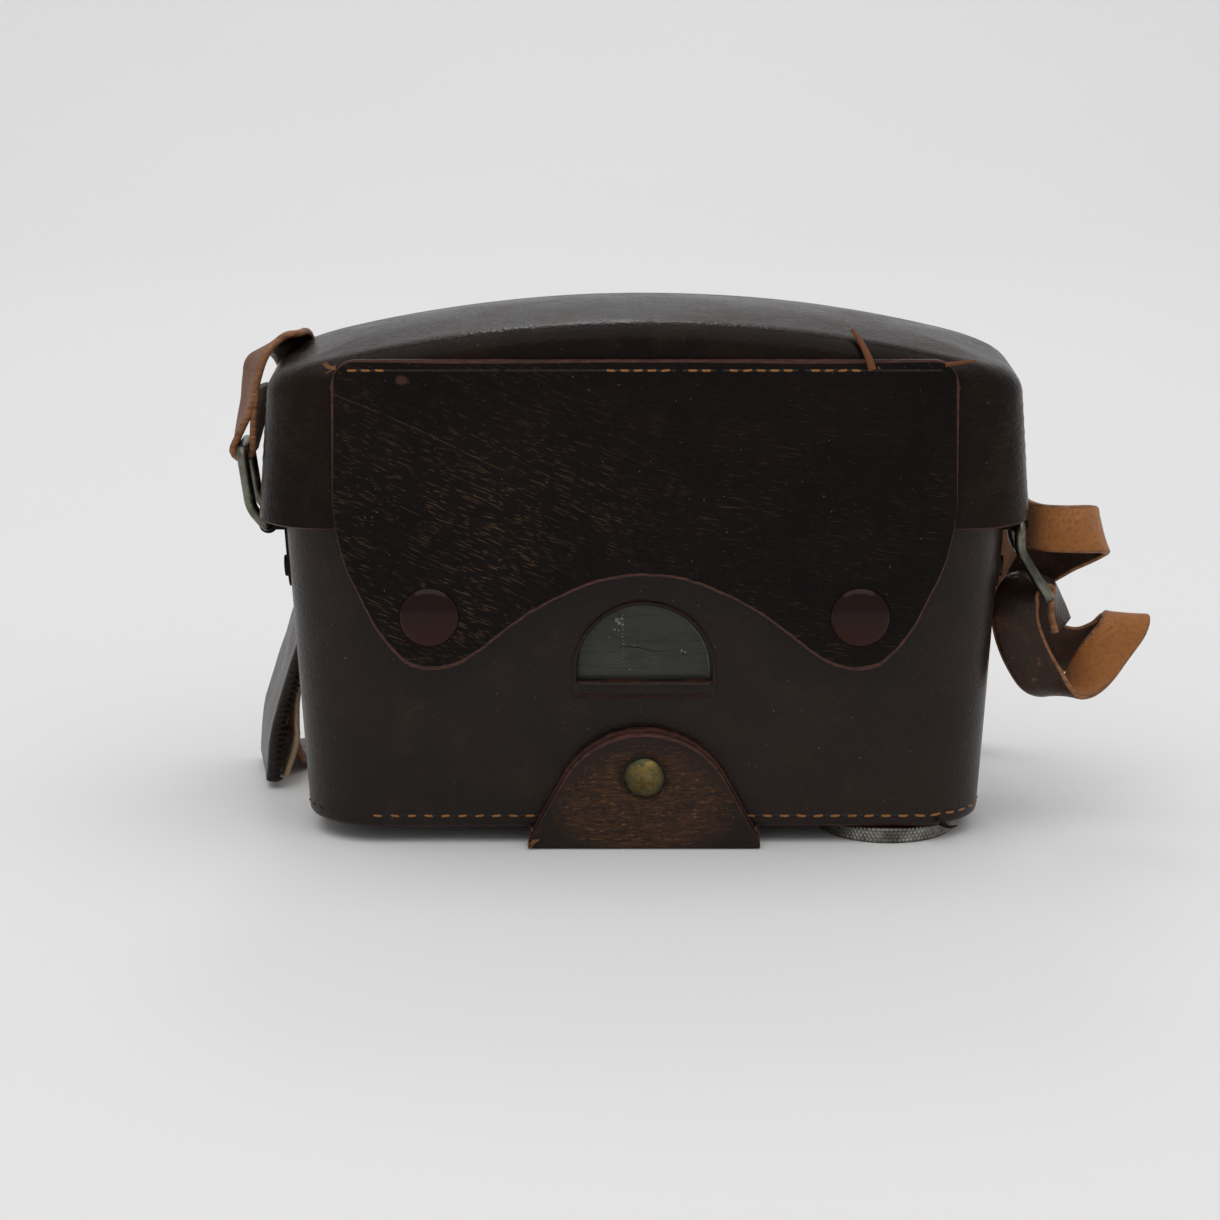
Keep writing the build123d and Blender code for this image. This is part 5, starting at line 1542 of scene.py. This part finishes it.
def buildStraps():
    s = strapSizes
    right = ribbonStations(rightStations, 0.9)
    left = ribbonStations(leftStations, 0.9)

    def nearest(samples, point, first=0):
        p = Vector(point)
        return min(range(first, len(samples)), key=lambda i: (samples[i][0] - p).length)

    def piece(name, samples, a, b, seed):
        look = strapLook if samples is right else leftLook
        return ribbon(name, samples[a:b + 1], s["width"], s["thick"], look, 10, 0.2, 0.1, seed)
    endRing = nearest(right, (80.1, -0.6, 49.9), 8)
    turn = nearest(right, (89.2, 0.2, 26.0), endRing)
    sideStart = nearest(right, (80.0, 12, 60.6), turn)
    floorStart = nearest(right, (69.8, 51, 2.0), sideStart)
    ends = (("strapRightEnd", 0, endRing, "right_ring", ["strap_right_end"]),
            ("strapRightBand", endRing, turn, None, ["strap_right_lower"]),
            ("strapRightLoop", turn, sideStart, "case", ["strap_right_fold", "strap_right_upper"]),
            ("strapSideRun", sideStart, floorStart, "case", ["strap_back_run"]),
            ("strapFloorRun", floorStart, len(right) - 1, "case", []))
    for name, first, last, body, replaced in ends:
        made = piece(name, right, first, last, 1)
        if body:
            finished(made, body, replaced, "strap_leather")
        else:
            bent(made, ("right_ring", "case"), (0.0795, 0, 0.0495), (0.0795, 0, 0.034),
                 replaced, "strap_leather")
    ringEnd = nearest(left, (-83.1, 0, 81.8), 16)
    shoulderStart = nearest(left, (-79.3, 0.8, 94.0), ringEnd)
    lidEnd = nearest(left, (-73.6, 18.0, 96.6), shoulderStart)
    hung = nearest(left, (-68.8, 30.8, 61), lidEnd)
    finished(piece("strapLeftEnd", left, 0, ringEnd, 2), "left_ring", ["strap_left_end"], "strap_leather")
    bends = (("strapLeftRiser", ringEnd, shoulderStart, ("left_ring", "case"),
              (-0.0831, 0, 0.0818), (-0.0795, 0, 0.0938), ["strap_over_lid"]),
             ("strapShoulder", shoulderStart, lidEnd, ("case", "lid"),
              (-0.0793, 0.0008, 0.094), (-0.0742, 0.0132, 0.098), []),
             ("strapBehindLid", lidEnd, hung, ("lid", "case"),
              (-0.0728, 0.0226, 0.0936), (-0.0692, 0.0306, 0.065), ["strap_behind_lid"]))
    for name, first, last, bodies, start, end, replaced in bends:
        bent(piece(name, left, first, last, 2), bodies, start, end, replaced, "strap_leather")
    finished(piece("strapThroughPad", left, hung, len(left) - 1, 2), "case", [], "strap_leather")


buildStraps()
print("straps made")


# shoulder pad

padStations = [((-71.6, 30.5, 41.0), (-1, -0.15, 0.3)), ((-74.2, 30.5, 32.6), (-1, -0.14, 0.3)),
               ((-77.2, 30.5, 23.4), (-1, -0.15, 0.3)), ((-79.6, 30.5, 15.6), (-1, -0.15, 0.25)),
               ((-80.3, 30.5, 12.6), (-1, -0.15, 0.1)), ((-81.0, 30.5, 7), (-1, -0.15, 0)),
               ((-81.5, 30.5, 1.8), (-1, -0.15, 0.05))]


def buildPad():
    samples = ribbonStations(padStations, 0.8)
    pad = ribbon("shoulderPad", samples, 26, 2.9, [padGrain, padSuede, padEdge], 26, 0.1, 0.3, 4)
    finished(pad, "case", ["shoulder_pad"], "pad_leather")
    inner = []
    for c, n, w in samples[2:-1]:
        swell = 2.6 * math.exp(-((c.z - 11) / 8) ** 2)
        inner.append((c - n * (1.9 + swell), n, w))
    lining = ribbon("padLining", inner, 23, 1.1, [padSuede, padSuede, padSuede], 20, 0.05, 0.2, 5)
    finished(lining, "case", ["pad_lining"], "pad_suede")
    # whipped thread over the near edge
    edge = [c + w * math.copysign(12.95, -w.y) for c, n, w in samples[1:-1]]
    edge = evenly(edge, int(lineLength(edge) / 1.25))
    across = Vector((-1, -0.2, 0.15))
    places = [(p - across.normalized() * 0.5, across, Vector((0.15, -1, 0))) for p in edge]
    repeat("padStitches", places, stitchGroup, stitchSizes["pad"], darkThread, "case", (), "thread")


buildPad()
print("pad made")


# loose thread ends and a spur of torn leather

def wisp(name, points, radius, material, body, thin=0.35):
    path = evenly(smoothLine(points, 8), 18)
    strand = tube(name, path, radius, material, 7, False, lambda f: 1 - (1 - thin) * f)
    finished(strand, body)


def buildWisps():
    wisp("threadStub0", [(44.9, -27.2, 98.6), (44.2, -26.4, 100.8), (42.9, -24.0, 103.4),
                         (41.3, -20.4, 105.6)], 0.85, frayBrown, "lid", 0.5)
    wisp("threadStub1", [(59.4, -26.6, 99.6), (62.0, -26.9, 100.0), (65.4, -25.2, 100.2)], 0.5,
         frayBrown, "lid", 0.5)
    pick = random.Random(5)
    for i in range(7):
        a = pick.uniform(-1, 1)
        b = pick.uniform(0, 1)
        wisp("threadTuft%d" % i, [(-61.2, -26.4, 98.6 + i * 0.12), (-62.2 - 0.5 * b, -26.6, 98.8 + a * 0.6),
                                  (-62.8 - b, -26.2, 99.0 + a * 1.3)], 0.09, goldThread, "lid")
    for i in range(7):
        a = pick.uniform(-1, 1)
        wisp("tabFray%d" % i, [(-22.6 + i * 0.2, -27.9, 2.2), (-23.0 + i * 0.15, -28.3, 1.6 + a * 0.4),
                               (-23.6 - 0.5 * a, -28.4, 0.9 + a * 0.5)], 0.09, goldThread, "case")
    wisp("baseSpur", [(60.6, -23.0, 4.4), (62.4, -23.8, 3.7), (63.9, -24.4, 4.2)], 0.7,
         flapLeather, "case", 0.2)


buildWisps()


# small metal parts keep the frame's own meshes, with a worn finish

metalNodes = ((blackSteel, ("lug_left", "lug_right", "lug_rivets")),
              (steel, ("snap_studs", "snap_stud_backs", "snap_sockets", "screw_grommet", "screw_clip")),
              (brass, ("tab_snap_stud", "tab_snap_socket")), (wheelSteel, ("screw_shank",)))
for look, nodeNames in metalNodes:
    for nodeName in nodeNames:
        for materialSlot in nodes[nodeName].material_slots:
            materialSlot.material = look
print("metal dressed")


# floor, light and camera

stageSizes = {"reach": 4.0, "sweep": 0.95, "bend": 0.7, "wall": 3.2, "world": 0.5}
lamps = (("softbox", (0.0, -0.4, 1.6), (0, -0.1, 0), 2.4, 19.0),
         ("rim", (-0.05, 1.15, 0.95), (0, 0, 0.06), 0.3, 1.5))


def buildStage():
    s = stageSizes
    f = Finish("paleFloor")
    cloud = f.noise(3, 2, 0.5)
    grain = f.noise(900, 3, 0.6)
    shade = f.mix(cloud.ramp(0.3, 0.7) * 0.25 + grain * 0.1, (0.84, 0.84, 0.84, 1), (0.8, 0.8, 0.805, 1))
    floorMaterial = f.close(Base_Color=shade, Roughness=0.7, Specular_IOR_Level=0.2)
    # paper that lies flat under the case and sweeps up behind it
    line = [(-s["reach"], 0.0), (-1.5, 0.0), (-0.6, 0.0), (0.0, 0.0), (0.5, 0.0), (s["sweep"], 0.0)]
    turns = [math.radians(a) for a in range(5, 91, 5)]
    line += [(s["sweep"] + s["bend"] * math.sin(a), s["bend"] - s["bend"] * math.cos(a)) for a in turns]
    back = s["sweep"] + s["bend"]
    line += [(back, 2 * s["bend"]), (back, s["wall"])]
    mesh = bpy.data.meshes.new("floor")
    points = [(x, y, z) for y, z in line for x in (-s["reach"], s["reach"])]
    mesh.from_pydata(points, [], [(2 * i, 2 * i + 1, 2 * i + 3, 2 * i + 2) for i in range(len(line) - 1)])
    mesh.materials.append(floorMaterial)
    mesh.polygons.foreach_set("use_smooth", [True] * len(mesh.polygons))
    floor = bpy.data.objects.new("floor", mesh)
    bpy.context.scene.collection.objects.link(floor)
    world = bpy.data.worlds.new("studio")
    world.use_nodes = True
    air = world.node_tree.nodes["Background"].inputs
    air["Color"].default_value = (1.0, 1.0, 1.0, 1)
    air["Strength"].default_value = s["world"]
    bpy.context.scene.world = world
    made = []
    for name, place, target, size, power in lamps:
        data = bpy.data.lights.new(name, "AREA")
        data.size = size
        data.energy = power
        lamp = bpy.data.objects.new(name, data)
        lamp.location = place
        lamp.rotation_euler = (Vector(target) - Vector(place)).to_track_quat("-Z", "Y").to_euler()
        bpy.context.scene.collection.objects.link(lamp)
        made.append(lamp)
    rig.stage(floor, *made)


buildStage()

cameraSizes = {"pitch": 13.0, "distance": 750.0, "x": -6.94, "z": 43.7, "lens": 106.23}


def buildCamera():
    s = cameraSizes
    data = bpy.data.cameras.new("camera")
    data.sensor_width = 36
    data.lens = s["lens"]
    data.clip_start = 0.05
    data.clip_end = 30
    eye = bpy.data.objects.new("camera", data)
    a = math.radians(s["pitch"])
    eye.location = Vector((s["x"], -s["distance"] * math.cos(a), s["z"] + s["distance"] * math.sin(a))) * mm
    eye.rotation_euler = (math.radians(90 - s["pitch"]), 0, 0)
    bpy.context.scene.collection.objects.link(eye)
    bpy.context.scene.camera = eye
    bpy.context.scene.view_settings.view_transform = "Standard"


buildCamera()
print("stage made")

endLow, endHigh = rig.bounds()
with open("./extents.json", "w") as sizeFile:
    json.dump({"frame": [list(startLow), list(startHigh)], "visual": [list(endLow), list(endHigh)]}, sizeFile)
